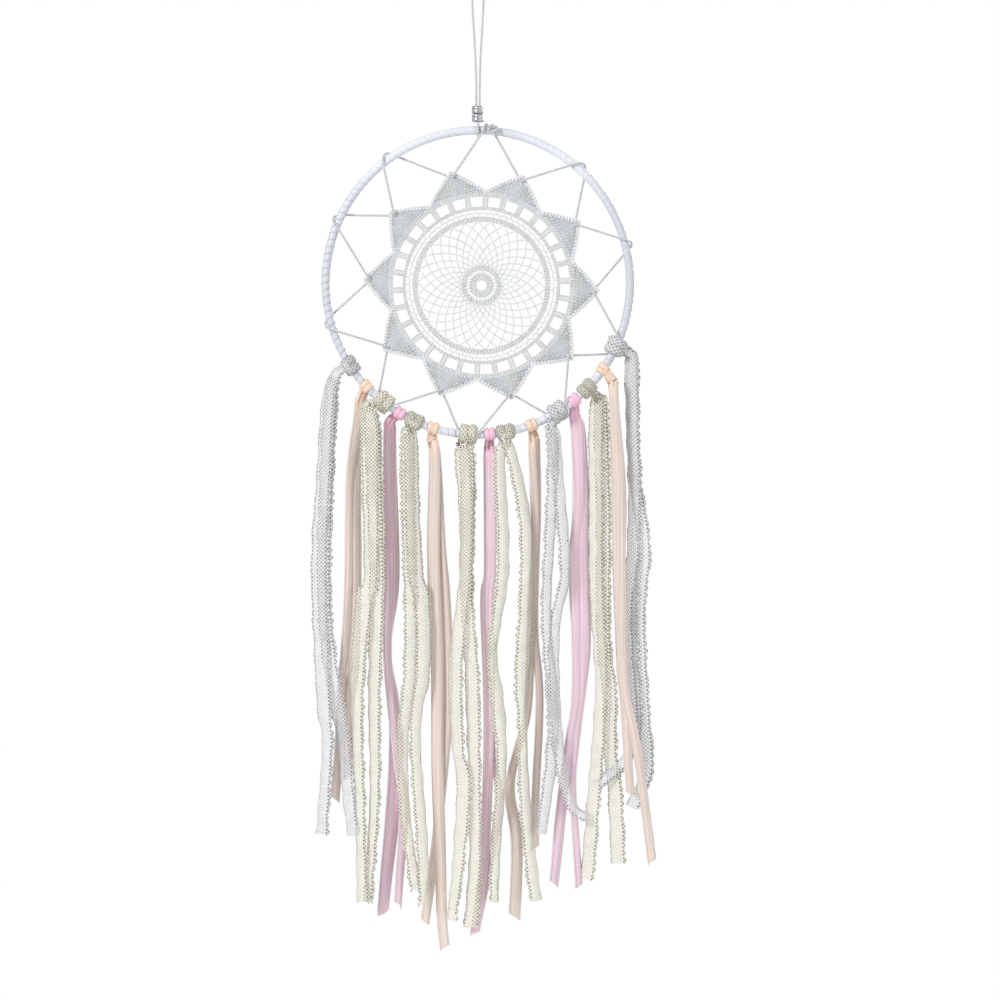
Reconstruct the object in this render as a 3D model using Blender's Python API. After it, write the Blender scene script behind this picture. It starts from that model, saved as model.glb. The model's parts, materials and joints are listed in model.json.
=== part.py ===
"""A dream catcher: a ribbon-wrapped steel hoop on a cord loop with two beads, a crocheted star doily laced
into the hoop, and fifteen doubled ribbons and lace strips knotted round the hoop's lower half.

Metres, +Z up. The front faces -Y and +X is the viewer's right. The origin is the top of the hanging loop,
at the point inside the loop where a hook carries it.
"""

import math

import bmesh
import bpy
from mathutils import Vector

# ---------------------------------------------------------------- driving dimensions, in metres and degrees

CLEARANCE = 0.0003  # gap kept between two pieces that touch

HOOP_OUTER_DIAMETER = 0.200
HOOP_DROP = 0.0965  # from the hook's bearing point down to the top of the hoop
TUBE_DIAMETER = 0.0055  # the hoop's tube, over its ribbon wrapping
WRAP_THICKNESS = 0.00055  # two layers of satin ribbon
WRAP_SEAM = 0.0014  # opening between the wrapping's two ends, under the hanging hitch

CORD_DIAMETER = 0.0018  # twisted cotton cord of the loop and of the lacing
LOOP_WIDTH = 0.0078  # between the loop's two sides where a hook holds it open
STRAND_GAP = 0.0004  # between the two strands inside the beads

BEAD_DIAMETER = 0.0080
BEAD_HEIGHT = 0.0049
BEAD_BORE_CLEARANCE = 0.0004
BEAD_TRAVEL = 0.0060  # each bead's slide up the cord

DOILY_POINTS = 10
DOILY_TURN = 69.2  # direction of one star point, anticlockwise from +X
DOILY_SHIFT = (0.0022, -0.0019)  # the doily hangs a little right of and below the hoop's centre
DOILY_THICKNESS = 0.0016
DOILY_WINDOWS = 30
LACING_GAP = 0.0195  # between the star's tips and the hoop's inner side
POINT_HEIGHT = 0.0155  # from the foot of a star point to its tip
EDGE_BAND = 0.0027  # crochet between the windows and the foot of the points
WINDOW_HEIGHT = 0.0057
WINDOW_POST = 0.0040  # crochet between two windows
CENTRE_HOLE_DIAMETER = 0.0060
EYELET_INSET = 0.0036  # from a star point's tip to its eyelet
EYELET_CLEARANCE = 0.00065
LACING_STANDOFF = 0.00015  # how loosely the cord lies round the hoop
TURN_RADIUS_MARGIN = 0.0004  # extra room in the cord's turn through an eyelet

SATIN_KNOT_THICKNESS = 0.0012
SATIN_KNOT_LENGTH = 0.0064
LACE_KNOT_THICKNESS = 0.0022
LACE_KNOT_LENGTH = 0.0102
LACE_OVER_CORD_THICKNESS = 0.00135  # a lace knot that sits over the lacing

LONGEST_TAIL = 0.334  # from the hoop's centreline to the lowest ribbon end
TAIL_THICKNESS = 0.0015
LAYER_GAP = 0.0038  # between the streamers in front of the hoop's plane and those behind it
TAIL_TOP_CLEARANCE = 0.0012
MIDDLE_SHARE = 0.45  # how far down a tail its middle station lies

END_WRAPS_GAP = 0.0006  # between the lacing's last turn round the hoop and its first
FIRST_WRAP_LEAD = 0.9  # degrees along the hoop that a turn of the cord takes
LAST_WRAP_LEAD = 1.7

# Where the cord meets the hoop, anticlockwise from +X: (it comes over the front, it leaves at the back).
# The turns beside the hanging hitch, which start and end the lacing, are worked out by end_wraps.
ANCHORS = [
    (51.1, 45.0),
    (16.5, 11.6),
    (-21.4, -28.1),
    (-55.0, -61.7),
    (-90.0, -97.0),
    (-125.0, -131.3),
    (-161.4, -167.3),
    (-201.5, -206.7),
    (-231.2, -237.1),
]

# Each streamer: name, cloth, side of the hoop's plane, knot angle (or the anchor it sits beside), how much
# shorter it is than the longest tail, then its sideways drift and its width, both in millimetres, at the
# top, the middle and the end.
STREAMERS = [
    ("white_lace_1", "lace", "front", -146.9, 0.035, (-3.0, 12), (-10.8, 16), (-12.0, 14)),
    ("peach_ribbon_1", "satin", "back", -137.1, 0.068, (2.0, 9), (-6.3, 9), (-13.6, 10)),
    ("cream_lace_1", "lace", "front", "anchor 5", 0.015, (-7.0, 14), (-7.5, 17), (-12.0, 14)),
    ("pink_ribbon_1", "satin", "back", "beside 5", 0.016, (-2.5, 9), (-2.5, 9), (-2.5, 15)),
    ("cream_lace_2", "lace", "front", -114.6, 0.026, (0.0, 13), (4.2, 16), (8.3, 12)),
    ("peach_ribbon_2", "satin", "back", -107.1, 0.0, (1.5, 9), (4.7, 9), (9.2, 9)),
    ("cream_lace_3", "lace", "front", "anchor 4", 0.019, (-5.0, 13), (-3.8, 16), (-6.4, 16)),
    ("pink_ribbon_2", "satin", "back", "beside 4", 0.017, (-0.8, 9), (-1.7, 9), (-9.7, 9)),
    ("cream_lace_4", "lace", "front", -79.7, 0.032, (-0.5, 13), (4.2, 16), (4.2, 16)),
    ("peach_ribbon_3", "satin", "back", -69.3, 0.021, (-1.4, 9), (-0.8, 9), (-11.6, 12)),
    ("white_lace_2", "lace", "front", "anchor 3", 0.063, (-8.5, 11), (-9.3, 13), (-11.3, 10)),
    ("pink_ribbon_3", "satin", "back", "beside 3", 0.022, (-4.7, 9), (-2.8, 11), (-12.4, 18)),
    ("cream_lace_5", "lace", "back", -44.2, 0.020, (1.8, 13), (1.8, 13), (5.7, 24)),
    ("peach_ribbon_4", "satin", "front", -34.6, 0.021, (-0.7, 8), (3.5, 8), (24.6, 8)),
    ("white_lace_3", "lace", "back", "anchor 2", 0.040, (2.2, 10), (6.0, 15), (4.7, 12)),
]

# ---------------------------------------------------------------- sizes that follow from them

CORD_RADIUS = CORD_DIAMETER / 2
TUBE_RADIUS = TUBE_DIAMETER / 2
RING_RADIUS = HOOP_OUTER_DIAMETER / 2 - TUBE_RADIUS
HOOP_CENTRE_Z = -(HOOP_DROP + HOOP_OUTER_DIAMETER / 2)
TOP_TUBE_Z = HOOP_CENTRE_Z + RING_RADIUS
CORE_RADIUS = TUBE_RADIUS - WRAP_THICKNESS - CLEARANCE
SLEEVE_BORE = TUBE_RADIUS + CLEARANCE
HITCH_RADIUS = SLEEVE_BORE + CORD_RADIUS
LACING_RADIUS = TUBE_RADIUS + CLEARANCE + LACING_STANDOFF + CORD_RADIUS  # the cord's line round the tube
LACE_OVER_CORD_BORE = LACING_RADIUS + CORD_RADIUS + CLEARANCE + LACING_STANDOFF
BIGGEST_SLEEVE = max(LACE_OVER_CORD_BORE + LACE_OVER_CORD_THICKNESS, SLEEVE_BORE + LACE_KNOT_THICKNESS)
TAIL_TOP_RADIUS = RING_RADIUS + BIGGEST_SLEEVE + TAIL_TOP_CLEARANCE
BEAD_FLOOR_Z = TOP_TUBE_Z + LACING_RADIUS + CORD_RADIUS + CLEARANCE
STRAND_X = CORD_RADIUS + STRAND_GAP / 2
BEAD_BORE_RADIUS = STRAND_X + CORD_RADIUS + BEAD_BORE_CLEARANCE
BEAD_PITCH = BEAD_HEIGHT + CLEARANCE
TIP_RADIUS = HOOP_OUTER_DIAMETER / 2 - TUBE_DIAMETER - LACING_GAP
VALLEY_RADIUS = TIP_RADIUS - POINT_HEIGHT
WINDOW_OUTER_RADIUS = VALLEY_RADIUS - EDGE_BAND
DOILY_CENTRE = Vector((DOILY_SHIFT[0], 0, HOOP_CENTRE_Z + DOILY_SHIFT[1]))
EYELET_RADIUS = CORD_RADIUS + EYELET_CLEARANCE
TURN_RADIUS = DOILY_THICKNESS / 2 + CLEARANCE + CORD_RADIUS + TURN_RADIUS_MARGIN

FRONT = Vector((0, -1, 0))
HITCH_SAMPLES = 40  # places along a strand where its room to the hitch is measured
PLACES = {}  # each pivot's and piece's origin in the world

# ---------------------------------------------------------------- materials

FINISHES = {
    "steel": ((0.55, 0.56, 0.58), 0.35, 1.0),
    "bead_metal": ((0.72, 0.73, 0.75), 0.28, 1.0),
    "white_satin": ((0.80, 0.82, 0.88), 0.40, 0.0),
    "crochet_cotton": ((0.86, 0.87, 0.87), 0.85, 0.0),
    "cotton_cord": ((0.84, 0.84, 0.84), 0.80, 0.0),
    "white_lace": ((0.84, 0.85, 0.87), 0.85, 0.0),
    "cream_lace": ((0.80, 0.79, 0.66), 0.85, 0.0),
    "peach_ribbon": ((0.88, 0.68, 0.56), 0.40, 0.0),
    "pink_ribbon": ((0.86, 0.56, 0.68), 0.40, 0.0),
}


def material(name):
    """The named finish, made once and shared."""
    found = bpy.data.materials.get(name)
    if found:
        return found
    colour, roughness, metallic = FINISHES[name]
    made = bpy.data.materials.new(name)
    made.use_nodes = True
    shader = made.node_tree.nodes["Principled BSDF"]
    shader.inputs["Base Color"].default_value = (*colour, 1)
    shader.inputs["Roughness"].default_value = roughness
    shader.inputs["Metallic"].default_value = metallic
    made.diffuse_color = (*colour, 1)
    return made


# ---------------------------------------------------------------- helpers


def clear_scene():
    for obj in list(bpy.data.objects):
        bpy.data.objects.remove(obj, do_unlink=True)


def pivot(name, place, parent=None):
    """An empty on a joint's axis. Its pieces hang from it."""
    empty = bpy.data.objects.new(name, None)
    empty.empty_display_size = 0.01
    bpy.context.scene.collection.objects.link(empty)
    hang(empty, place, parent)
    return empty


def hang(obj, place, parent):
    """Puts obj at a place in the world, under its parent."""
    obj.parent = parent
    world = Vector(place)
    obj.location = world - (PLACES[parent.name] if parent else Vector())
    PLACES[obj.name] = world


def solid(name, bm, finish, parent, smooth=True):
    """Turns a bmesh drawn in world coordinates into a named object under its pivot."""
    place = PLACES[parent.name]
    bmesh.ops.recalc_face_normals(bm, faces=bm.faces)
    bmesh.ops.translate(bm, vec=-place, verts=bm.verts)
    mesh = bpy.data.meshes.new(name)
    bm.to_mesh(mesh)
    bm.free()
    if smooth:
        mesh.shade_smooth()
        mesh.set_sharp_from_angle(angle=math.radians(40))
    mesh.materials.append(material(finish))
    obj = bpy.data.objects.new(name, mesh)
    bpy.context.scene.collection.objects.link(obj)
    hang(obj, place, parent)
    return obj


def on_hoop(angle, roll=0.0, radius=0.0):
    """A point near the hoop's tube. roll goes from the hoop's inner side (0) over the front (90) and the
    outer side (180) to the back (270), and radius is the distance from the tube's centreline."""
    outwards = Vector((math.cos(math.radians(angle)), 0, math.sin(math.radians(angle))))
    turn = math.radians(roll)
    centre = Vector((0, 0, HOOP_CENTRE_Z)) + RING_RADIUS * outwards
    return centre + radius * (math.sin(turn) * FRONT - math.cos(turn) * outwards)


def on_doily(angle, radius):
    turn = math.radians(angle)
    return DOILY_CENTRE + radius * Vector((math.cos(turn), 0, math.sin(turn)))


def bridge(bm, first, second):
    """A band of faces between two rings of the same number of points."""
    for i in range(len(first)):
        j = (i + 1) % len(first)
        bm.faces.new((first[i], first[j], second[j], second[i]))


def hoop_sleeve(start, stop, bore, outer, steps, sides):
    """A tube wall round the hoop from one angle to another, open at both ends."""
    bm = bmesh.new()
    sections = []
    for step in range(steps + 1):
        angle = start + (stop - start) * step / steps
        rolls = [360 * side / sides for side in range(sides)]
        sections.append(
            [[bm.verts.new(on_hoop(angle, roll, radius)) for roll in rolls] for radius in (bore, outer)]
        )
    for before, after in zip(sections, sections[1:]):
        bridge(bm, before[0], after[0])
        bridge(bm, before[1], after[1])
    for inner_ring, outer_ring in (sections[0], sections[-1]):
        bridge(bm, inner_ring, outer_ring)
    return bm


def turned(profile, sides, place):
    """A closed profile of (radius, height) turned round the vertical through a place."""
    bm = bmesh.new()
    rings = []
    for radius, height in profile:
        turns = [math.tau * side / sides for side in range(sides)]
        rings.append(
            [
                bm.verts.new(place + Vector((radius * math.cos(t), radius * math.sin(t), height)))
                for t in turns
            ]
        )
    for first, second in zip(rings, rings[1:] + rings[:1]):
        bridge(bm, first, second)
    return bm


def torus(centre, across, major, minor, steps, sides):
    """A ring of cord or wire whose hole looks along the unit vector across."""
    bm = bmesh.new()
    side_way = across.orthogonal().normalized()
    up_way = across.cross(side_way)
    rings = []
    for step in range(steps):
        turn = math.tau * step / steps
        spoke = math.cos(turn) * side_way + math.sin(turn) * up_way
        ring = []
        for side in range(sides):
            roll = math.tau * side / sides
            off_line = minor * (math.cos(roll) * spoke + math.sin(roll) * across)
            ring.append(bm.verts.new(centre + major * spoke + off_line))
        rings.append(ring)
    for first, second in zip(rings, rings[1:] + rings[:1]):
        bridge(bm, first, second)
    return bm


def cord(name, points, parent):
    """A round cord through the points, as a curve with filled caps."""
    place = PLACES[parent.name]
    curve = bpy.data.curves.new(name, "CURVE")
    curve.dimensions = "3D"
    curve.bevel_depth = CORD_RADIUS
    curve.bevel_resolution = 2
    curve.use_fill_caps = True
    spline = curve.splines.new("POLY")
    spline.points.add(len(points) - 1)
    for point, at in zip(spline.points, points):
        point.co = (*(at - place), 1)
    curve.materials.append(material("cotton_cord"))
    obj = bpy.data.objects.new(name, curve)
    bpy.context.scene.collection.objects.link(obj)
    hang(obj, place, parent)
    return obj


def smooth_line(points, spacing):
    """A Catmull-Rom curve through the points, read about every spacing metres."""
    read = []
    for i in range(len(points) - 1):
        before = points[max(i - 1, 0)]
        start, stop = points[i], points[i + 1]
        after = points[min(i + 2, len(points) - 1)]
        count = max(1, round((stop - start).length / spacing))
        for step in range(count):
            t = step / count
            read.append(
                0.5
                * (
                    2 * start
                    + (stop - before) * t
                    + (2 * before - 5 * start + 4 * stop - after) * t**2
                    + (3 * start - before - 3 * stop + after) * t**3
                )
            )
    return read + [points[-1]]


# ---------------------------------------------------------------- hanger, hitch and beads


def loop_route():
    """Up the left strand, over the hook and down the right one."""
    foot = BEAD_FLOOR_Z
    spread_start = BEAD_FLOOR_Z + 2 * (BEAD_PITCH + BEAD_TRAVEL)
    half_width = LOOP_WIDTH / 2
    bend_z = CORD_RADIUS - half_width
    side = [(STRAND_X, foot), (STRAND_X, (foot + spread_start) / 2), (STRAND_X, spread_start)]
    for share, opened in ((0.25, 0.16), (0.5, 0.5), (0.75, 0.84), (1.0, 1.0)):
        side.append(
            (
                STRAND_X + (half_width - STRAND_X) * opened,
                spread_start + (bend_z - spread_start) * share,
            )
        )
    for turn in (30, 60):
        lean = math.radians(turn)
        side.append((half_width * math.cos(lean), bend_z + half_width * math.sin(lean)))
    left = [Vector((-x, 0, z)) for x, z in side]
    right = [Vector((x, 0, z)) for x, z in reversed(side)]
    top = [Vector((0, 0, CORD_RADIUS))]
    return smooth_line(left + top + right, 2.2 * CORD_DIAMETER)


def make_hanger():
    hanger = pivot("hanger_axis", (0, 0, 0))
    cord("hanging_loop", loop_route(), hanger)
    hitch = pivot("cord_twist_axis", (0, 0, BEAD_FLOOR_Z), hanger)
    ring = torus(Vector((0, 0, TOP_TUBE_Z)), Vector((1, 0, 0)), HITCH_RADIUS, CORD_RADIUS, 20, 8)
    solid("hanging_hitch", ring, "cotton_cord", hitch)
    return hitch


def make_beads(hitch):
    """Two drum beads on the doubled cord. The upper one rides on the lower one."""
    lip = 0.82 * BEAD_DIAMETER / 2
    shoulder = 0.18 * BEAD_HEIGHT
    profile = [
        (BEAD_BORE_RADIUS, 0),
        (lip, 0),
        (BEAD_DIAMETER / 2, shoulder),
        (BEAD_DIAMETER / 2, BEAD_HEIGHT - shoulder),
        (lip, BEAD_HEIGHT),
        (BEAD_BORE_RADIUS, BEAD_HEIGHT),
    ]
    carrier = hitch
    for number, name in enumerate(("lower", "upper")):
        place = Vector((0, 0, BEAD_FLOOR_Z + number * BEAD_PITCH))
        carrier = pivot(f"{name}_bead_axis", place, carrier)
        solid(f"bead_{name}", turned(profile, 20, place), "bead_metal", carrier)


# ---------------------------------------------------------------- hoop, doily and lacing


def make_hoop(hoop):
    centre = Vector((0, 0, HOOP_CENTRE_Z))
    core = torus(centre, Vector((0, 1, 0)), RING_RADIUS, CORE_RADIUS, 72, 8)
    solid("hoop_core", core, "steel", hoop)
    half_seam = math.degrees(WRAP_SEAM / 2 / RING_RADIUS)
    bore = CORE_RADIUS + CLEARANCE
    wrap = hoop_sleeve(90 + half_seam, 450 - half_seam, bore, TUBE_RADIUS, 72, 12)
    solid("hoop_wrap", wrap, "white_satin", hoop)


def tip_angles():
    """Directions of the star's tips, clockwise from the first one that the cord reaches."""
    return [DOILY_TURN - 360 / DOILY_POINTS * i for i in range(DOILY_POINTS)]


def make_doily(hoop):
    """A flat star with a centre hole, a ring of windows and an eyelet in each tip."""
    half_step = 180 / DOILY_POINTS
    bm = bmesh.new()
    edges = []

    def outline(points):
        made = [bm.verts.new(p + FRONT * DOILY_THICKNESS / 2) for p in points]
        edges.extend(bm.edges.new((a, b)) for a, b in zip(made, made[1:] + made[:1]))

    star = []
    for angle in tip_angles():
        star.append(on_doily(angle + half_step, VALLEY_RADIUS))
        for lean in (0.09, 0.0, -0.09):
            star.append(on_doily(angle + lean * half_step, TIP_RADIUS * (1 - abs(lean) * 0.05)))
    outline(star)
    outline([on_doily(360 * i / 20, CENTRE_HOLE_DIAMETER / 2) for i in range(20)])

    window_inner = WINDOW_OUTER_RADIUS - WINDOW_HEIGHT
    for window in range(DOILY_WINDOWS):
        middle = DOILY_TURN + 360 * (window + 0.5) / DOILY_WINDOWS
        corners = []
        for radius, way in ((WINDOW_OUTER_RADIUS, 1), (window_inner, -1)):
            half_open = 180 / DOILY_WINDOWS - math.degrees(WINDOW_POST / 2 / radius)
            corners.append(on_doily(middle + way * half_open, radius))
            corners.append(on_doily(middle - way * half_open, radius))
        outline(corners)

    for angle in tip_angles():
        eyelet = on_doily(angle, TIP_RADIUS - EYELET_INSET)
        turns = [math.tau * i / 10 for i in range(10)]
        outline([eyelet + EYELET_RADIUS * Vector((math.cos(t), 0, math.sin(t))) for t in turns])

    bmesh.ops.triangle_fill(bm, use_beauty=True, edges=edges)
    grown = bmesh.ops.extrude_face_region(bm, geom=bm.faces[:])
    moved = [item for item in grown["geom"] if isinstance(item, bmesh.types.BMVert)]
    bmesh.ops.translate(bm, vec=-FRONT * DOILY_THICKNESS, verts=moved)
    solid("doily", bm, "crochet_cotton", hoop, smooth=False)


def wrap_points(wrap):
    """The cord's way round the hoop: over the front, round the outer side and out at the back."""
    first_roll, last_roll, steps = 80, 280, 6
    came, left = wrap
    points = []
    for step in range(steps + 1):
        share = step / steps
        roll = first_roll + (last_roll - first_roll) * share
        points.append(on_hoop(came + (left - came) * share, roll, LACING_RADIUS))
    return points


def turn_points(eyelet, came_from, goes_to):
    """The cord's way through a star tip: in from the back and out at the front."""
    backwards = (came_from - eyelet).normalized()
    onwards = (goes_to - eyelet).normalized()
    steps = 6
    points = []
    for step in range(steps + 1):
        share = step / steps
        turn = math.radians(-90 + 180 * share)
        outwards = backwards.lerp(onwards, share)
        outwards.y = 0
        outwards.normalize()
        points.append(
            eyelet + TURN_RADIUS * (1 - math.cos(turn)) * outwards + TURN_RADIUS * math.sin(turn) * FRONT
        )
    return points


def room_to_hitch(start, stop):
    """The least distance between a straight strand's line and the line of the hanging hitch."""
    least = math.inf
    for step in range(HITCH_SAMPLES + 1):
        place = start.lerp(stop, step / HITCH_SAMPLES)
        off_ring = math.hypot(place.y, place.z - TOP_TUBE_Z) - HITCH_RADIUS
        least = min(least, math.hypot(off_ring, place.x))
    return least


def end_wraps():
    """(first turn, last turn) of the lacing. The last strand slants past the front of the hanging hitch, and
    its turn slides to the right until both clear it. The first turn lies beside that one."""
    came_from = wrap_points(ANCHORS[-1])[-1]
    eyelet = on_doily(tip_angles()[-1], TIP_RADIUS - EYELET_INSET)
    came, room = -270.0, 0.0
    while room < CORD_DIAMETER + CLEARANCE:
        came -= 0.05
        onwards = wrap_points((came, came - LAST_WRAP_LEAD))
        strand = [turn_points(eyelet, came_from, onwards[0])[-1], *onwards]
        room = min(room_to_hitch(start, stop) for start, stop in zip(strand, strand[1:]))
    last = (came, came - LAST_WRAP_LEAD)
    beside = last[1] + 360 - math.degrees((CORD_DIAMETER + END_WRAPS_GAP) / RING_RADIUS)
    return (beside, beside - FIRST_WRAP_LEAD), last


def lacing_route():
    """One cord round the whole web: hoop, tip, hoop, tip, back to where it started."""
    first, last = end_wraps()
    points = wrap_points(first)
    for angle, wrap in zip(tip_angles(), [*ANCHORS, last]):
        eyelet = on_doily(angle, TIP_RADIUS - EYELET_INSET)
        onwards = wrap_points(wrap)
        points += turn_points(eyelet, points[-1], onwards[0]) + onwards
    return points


# ---------------------------------------------------------------- streamers


def lean_room(came, number):
    """How far along the hoop a cord that slants off to its star tip passes over a satin knot beside it."""
    eyelet = on_doily(tip_angles()[number], TIP_RADIUS - EYELET_INSET)
    outwards = (on_hoop(came) - on_hoop(came, 0, RING_RADIUS)).normalized()
    strand = on_hoop(came) - eyelet
    slope = (strand - strand.dot(outwards) * outwards).length / strand.dot(outwards)
    depth = LACING_RADIUS - 1.25 * CORD_RADIUS
    reach = math.sqrt(max((SLEEVE_BORE + SATIN_KNOT_THICKNESS) ** 2 - depth**2, 0))
    return slope * reach + (CORD_RADIUS + CLEARANCE) * (math.hypot(1, slope) - 1)


def knot_span(knot, cloth):
    """(start angle, stop angle, does it sit over the lacing) of a streamer's knot."""
    to_degrees = math.degrees(1 / RING_RADIUS)
    beside_cord = (CORD_RADIUS + 2 * CLEARANCE) * to_degrees
    length = SATIN_KNOT_LENGTH if cloth == "satin" else LACE_KNOT_LENGTH
    half = length / 2 * to_degrees
    if isinstance(knot, str):
        place, number = knot.split()
        came, left = ANCHORS[int(number)]
        if place == "anchor":
            return left + beside_cord, came - beside_cord, True
        start = came + beside_cord + lean_room(came, int(number)) * to_degrees
        return start, start + 2 * half, False
    return knot - half, knot + half, False


def tail_outline(middle_x, tail_end_z, stations):
    """Corners of a tail's plain strip, seen from the front. Its top edge follows the hoop."""
    (top_drift, top_width), (middle_drift, middle_width), (end_drift, end_width) = [
        (drift / 1000, width / 1000) for drift, width in stations
    ]

    def under_hoop(x):
        return HOOP_CENTRE_Z - math.sqrt(max(TAIL_TOP_RADIUS**2 - x**2, 0))

    top_x = middle_x + top_drift
    edges_x = (top_x - top_width / 2, top_x + top_width / 2)
    lowest_top = min(under_hoop(x) for x in edges_x)
    slant_limit = lowest_top + top_width / 2
    top = [(x, min(under_hoop(x), slant_limit)) for x in edges_x]
    middle_z = lowest_top + (tail_end_z - lowest_top) * MIDDLE_SHARE

    def across(drift, width, z):
        return [(middle_x + drift - width / 2, z), (middle_x + drift + width / 2, z)]

    middle = across(middle_drift, middle_width, middle_z)
    end = across(end_drift, end_width, tail_end_z)
    return [top, middle, end]


def make_streamer(hoop, name, cloth, side, knot, shorter, *stations):
    start, stop, over_cord = knot_span(knot, cloth)
    finish = name.rsplit("_", 1)[0]
    bore = LACE_OVER_CORD_BORE if over_cord else SLEEVE_BORE
    thickness = LACE_OVER_CORD_THICKNESS if over_cord else LACE_KNOT_THICKNESS
    if cloth == "satin":
        thickness = SATIN_KNOT_THICKNESS
    solid(f"{name}_knot", hoop_sleeve(start, stop, bore, bore + thickness, 3, 16), finish, hoop)

    angle = math.radians((start + stop) / 2)
    tail_end_z = HOOP_CENTRE_Z + RING_RADIUS * math.sin(angle) - (LONGEST_TAIL - shorter)
    rows = tail_outline(TAIL_TOP_RADIUS * math.cos(angle), tail_end_z, stations)
    way = 1 if side == "front" else -1
    layer_y = way * (LAYER_GAP + TAIL_THICKNESS) / 2 * FRONT.y
    swing = Vector(((rows[0][0][0] + rows[0][1][0]) / 2, layer_y, (rows[0][0][1] + rows[0][1][1]) / 2))
    hanging = pivot(f"{name}_swing_axis", swing, hoop)
    bm = bmesh.new()
    rings = []
    for (left_x, left_z), (right_x, right_z) in rows:
        near, far = layer_y - TAIL_THICKNESS / 2, layer_y + TAIL_THICKNESS / 2
        left, right = (left_x, left_z), (right_x, right_z)
        corners = ((left, near), (right, near), (right, far), (left, far))
        rings.append([bm.verts.new((x, y, z)) for (x, z), y in corners])
    for before, after in zip(rings, rings[1:]):
        bridge(bm, before, after)
    bm.faces.new(rings[0])
    bm.faces.new(rings[-1])
    solid(f"{name}_tails", bm, finish, hanging, smooth=False)


# ---------------------------------------------------------------- the whole object


def main():
    clear_scene()
    hitch = make_hanger()
    make_beads(hitch)
    hoop = pivot("hoop_swing_axis", (0, 0, TOP_TUBE_Z), hitch)
    make_hoop(hoop)
    make_doily(hoop)
    cord("web_cord", lacing_route(), hoop)
    for streamer in STREAMERS:
        make_streamer(hoop, *streamer)


main()
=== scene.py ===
# %% [markdown]
# # A dream catcher with a crocheted star
#
# This notebook gives a dream catcher its looks. The plain working model already exists: a hoop on a cord, a
# star laced into it, and fifteen doubled ribbons and laces. Each step below replaces one of those plain
# shapes by a detailed one: twisted cord, wound satin, crochet stitches, ribbon with folds, lace with holes.
# Everything is in metres, +Z is up and the front faces -Y.

# %% Load the working model
import json
import math

import bpy
import numpy as np
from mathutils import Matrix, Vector


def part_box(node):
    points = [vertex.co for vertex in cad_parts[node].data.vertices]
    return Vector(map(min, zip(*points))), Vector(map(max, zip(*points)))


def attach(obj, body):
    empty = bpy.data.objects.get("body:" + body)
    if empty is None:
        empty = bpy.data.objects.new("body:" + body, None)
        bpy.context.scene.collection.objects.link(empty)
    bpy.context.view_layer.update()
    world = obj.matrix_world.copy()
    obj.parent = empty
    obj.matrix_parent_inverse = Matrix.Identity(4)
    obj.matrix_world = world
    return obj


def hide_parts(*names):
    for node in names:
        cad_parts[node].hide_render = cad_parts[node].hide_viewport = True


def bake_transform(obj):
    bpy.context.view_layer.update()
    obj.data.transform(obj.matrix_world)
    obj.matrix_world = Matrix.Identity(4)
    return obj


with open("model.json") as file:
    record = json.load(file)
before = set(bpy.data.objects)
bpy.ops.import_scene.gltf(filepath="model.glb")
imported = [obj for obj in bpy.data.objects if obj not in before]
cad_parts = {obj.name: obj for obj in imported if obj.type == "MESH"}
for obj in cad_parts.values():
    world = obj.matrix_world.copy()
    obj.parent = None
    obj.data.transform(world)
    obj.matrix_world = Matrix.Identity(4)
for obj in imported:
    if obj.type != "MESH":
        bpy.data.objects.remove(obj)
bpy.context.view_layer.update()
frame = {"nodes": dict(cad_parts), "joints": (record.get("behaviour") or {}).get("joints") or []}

# %% Read the main places from the working model
wrap_low, wrap_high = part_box("hoop_wrap")
HOOP_RADIUS = (wrap_high.x - wrap_low.x) / 2
TUBE_RADIUS = (wrap_high.y - wrap_low.y) / 2
RING_RADIUS = HOOP_RADIUS - TUBE_RADIUS
HOOP_CENTRE = np.array([0.0, 0.0, (wrap_low.z + wrap_high.z) / 2])
TOP_TUBE_Z = HOOP_CENTRE[2] + RING_RADIUS
CORD_RADIUS = (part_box("hanging_hitch")[1].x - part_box("hanging_hitch")[0].x) / 2
FRONT = np.array([0.0, -1.0, 0.0])
print(f"hoop {2000 * HOOP_RADIUS:.0f} mm across, tube {2000 * TUBE_RADIUS:.1f} mm")
print(f"cord {2000 * CORD_RADIUS:.1f} mm thick")

# %% [markdown]
# ## Camera, light and floor
#
# A catcher hangs on a wall or in a window, so it is looked at straight on, from far enough away that the
# ribbons don't fan out in perspective: a long lens at two and a half metres. White textiles on white need
# light from one side, or every fold disappears. So the world behind is pure white, but it lights the object
# with less than that, and one large soft lamp from the upper left gives each ribbon a bright and a dark side.

# %% Camera
CAMERA_DISTANCE = 2.5
SEEN_HEIGHT = 0.639  # metres that fit in the picture at the hoop's distance
CAMERA_AIM = (0.0141, 0.0, -0.3355)


def make_camera():
    data = bpy.data.cameras.new("camera")
    data.sensor_width = 36
    data.lens = data.sensor_width * CAMERA_DISTANCE / SEEN_HEIGHT
    camera = bpy.data.objects.new("camera", data)
    camera.location = (CAMERA_AIM[0], -CAMERA_DISTANCE, CAMERA_AIM[2])
    camera.rotation_euler = (math.radians(90), 0, 0)
    bpy.context.scene.collection.objects.link(camera)
    bpy.context.scene.camera = camera


make_camera()
bpy.context.scene.view_settings.view_transform = "Standard"
print(f"lens {bpy.context.scene.camera.data.lens:.0f} mm")


# %% Lights
def make_light(name, place, size, watts):
    data = bpy.data.lights.new(name, "AREA")
    data.shape = "DISK"
    data.size = size
    data.energy = watts
    lamp = bpy.data.objects.new(name, data)
    lamp.location = place
    aim = Vector(CAMERA_AIM) - Vector(place)
    lamp.rotation_euler = aim.to_track_quat("-Z", "Y").to_euler()
    bpy.context.scene.collection.objects.link(lamp)


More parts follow.
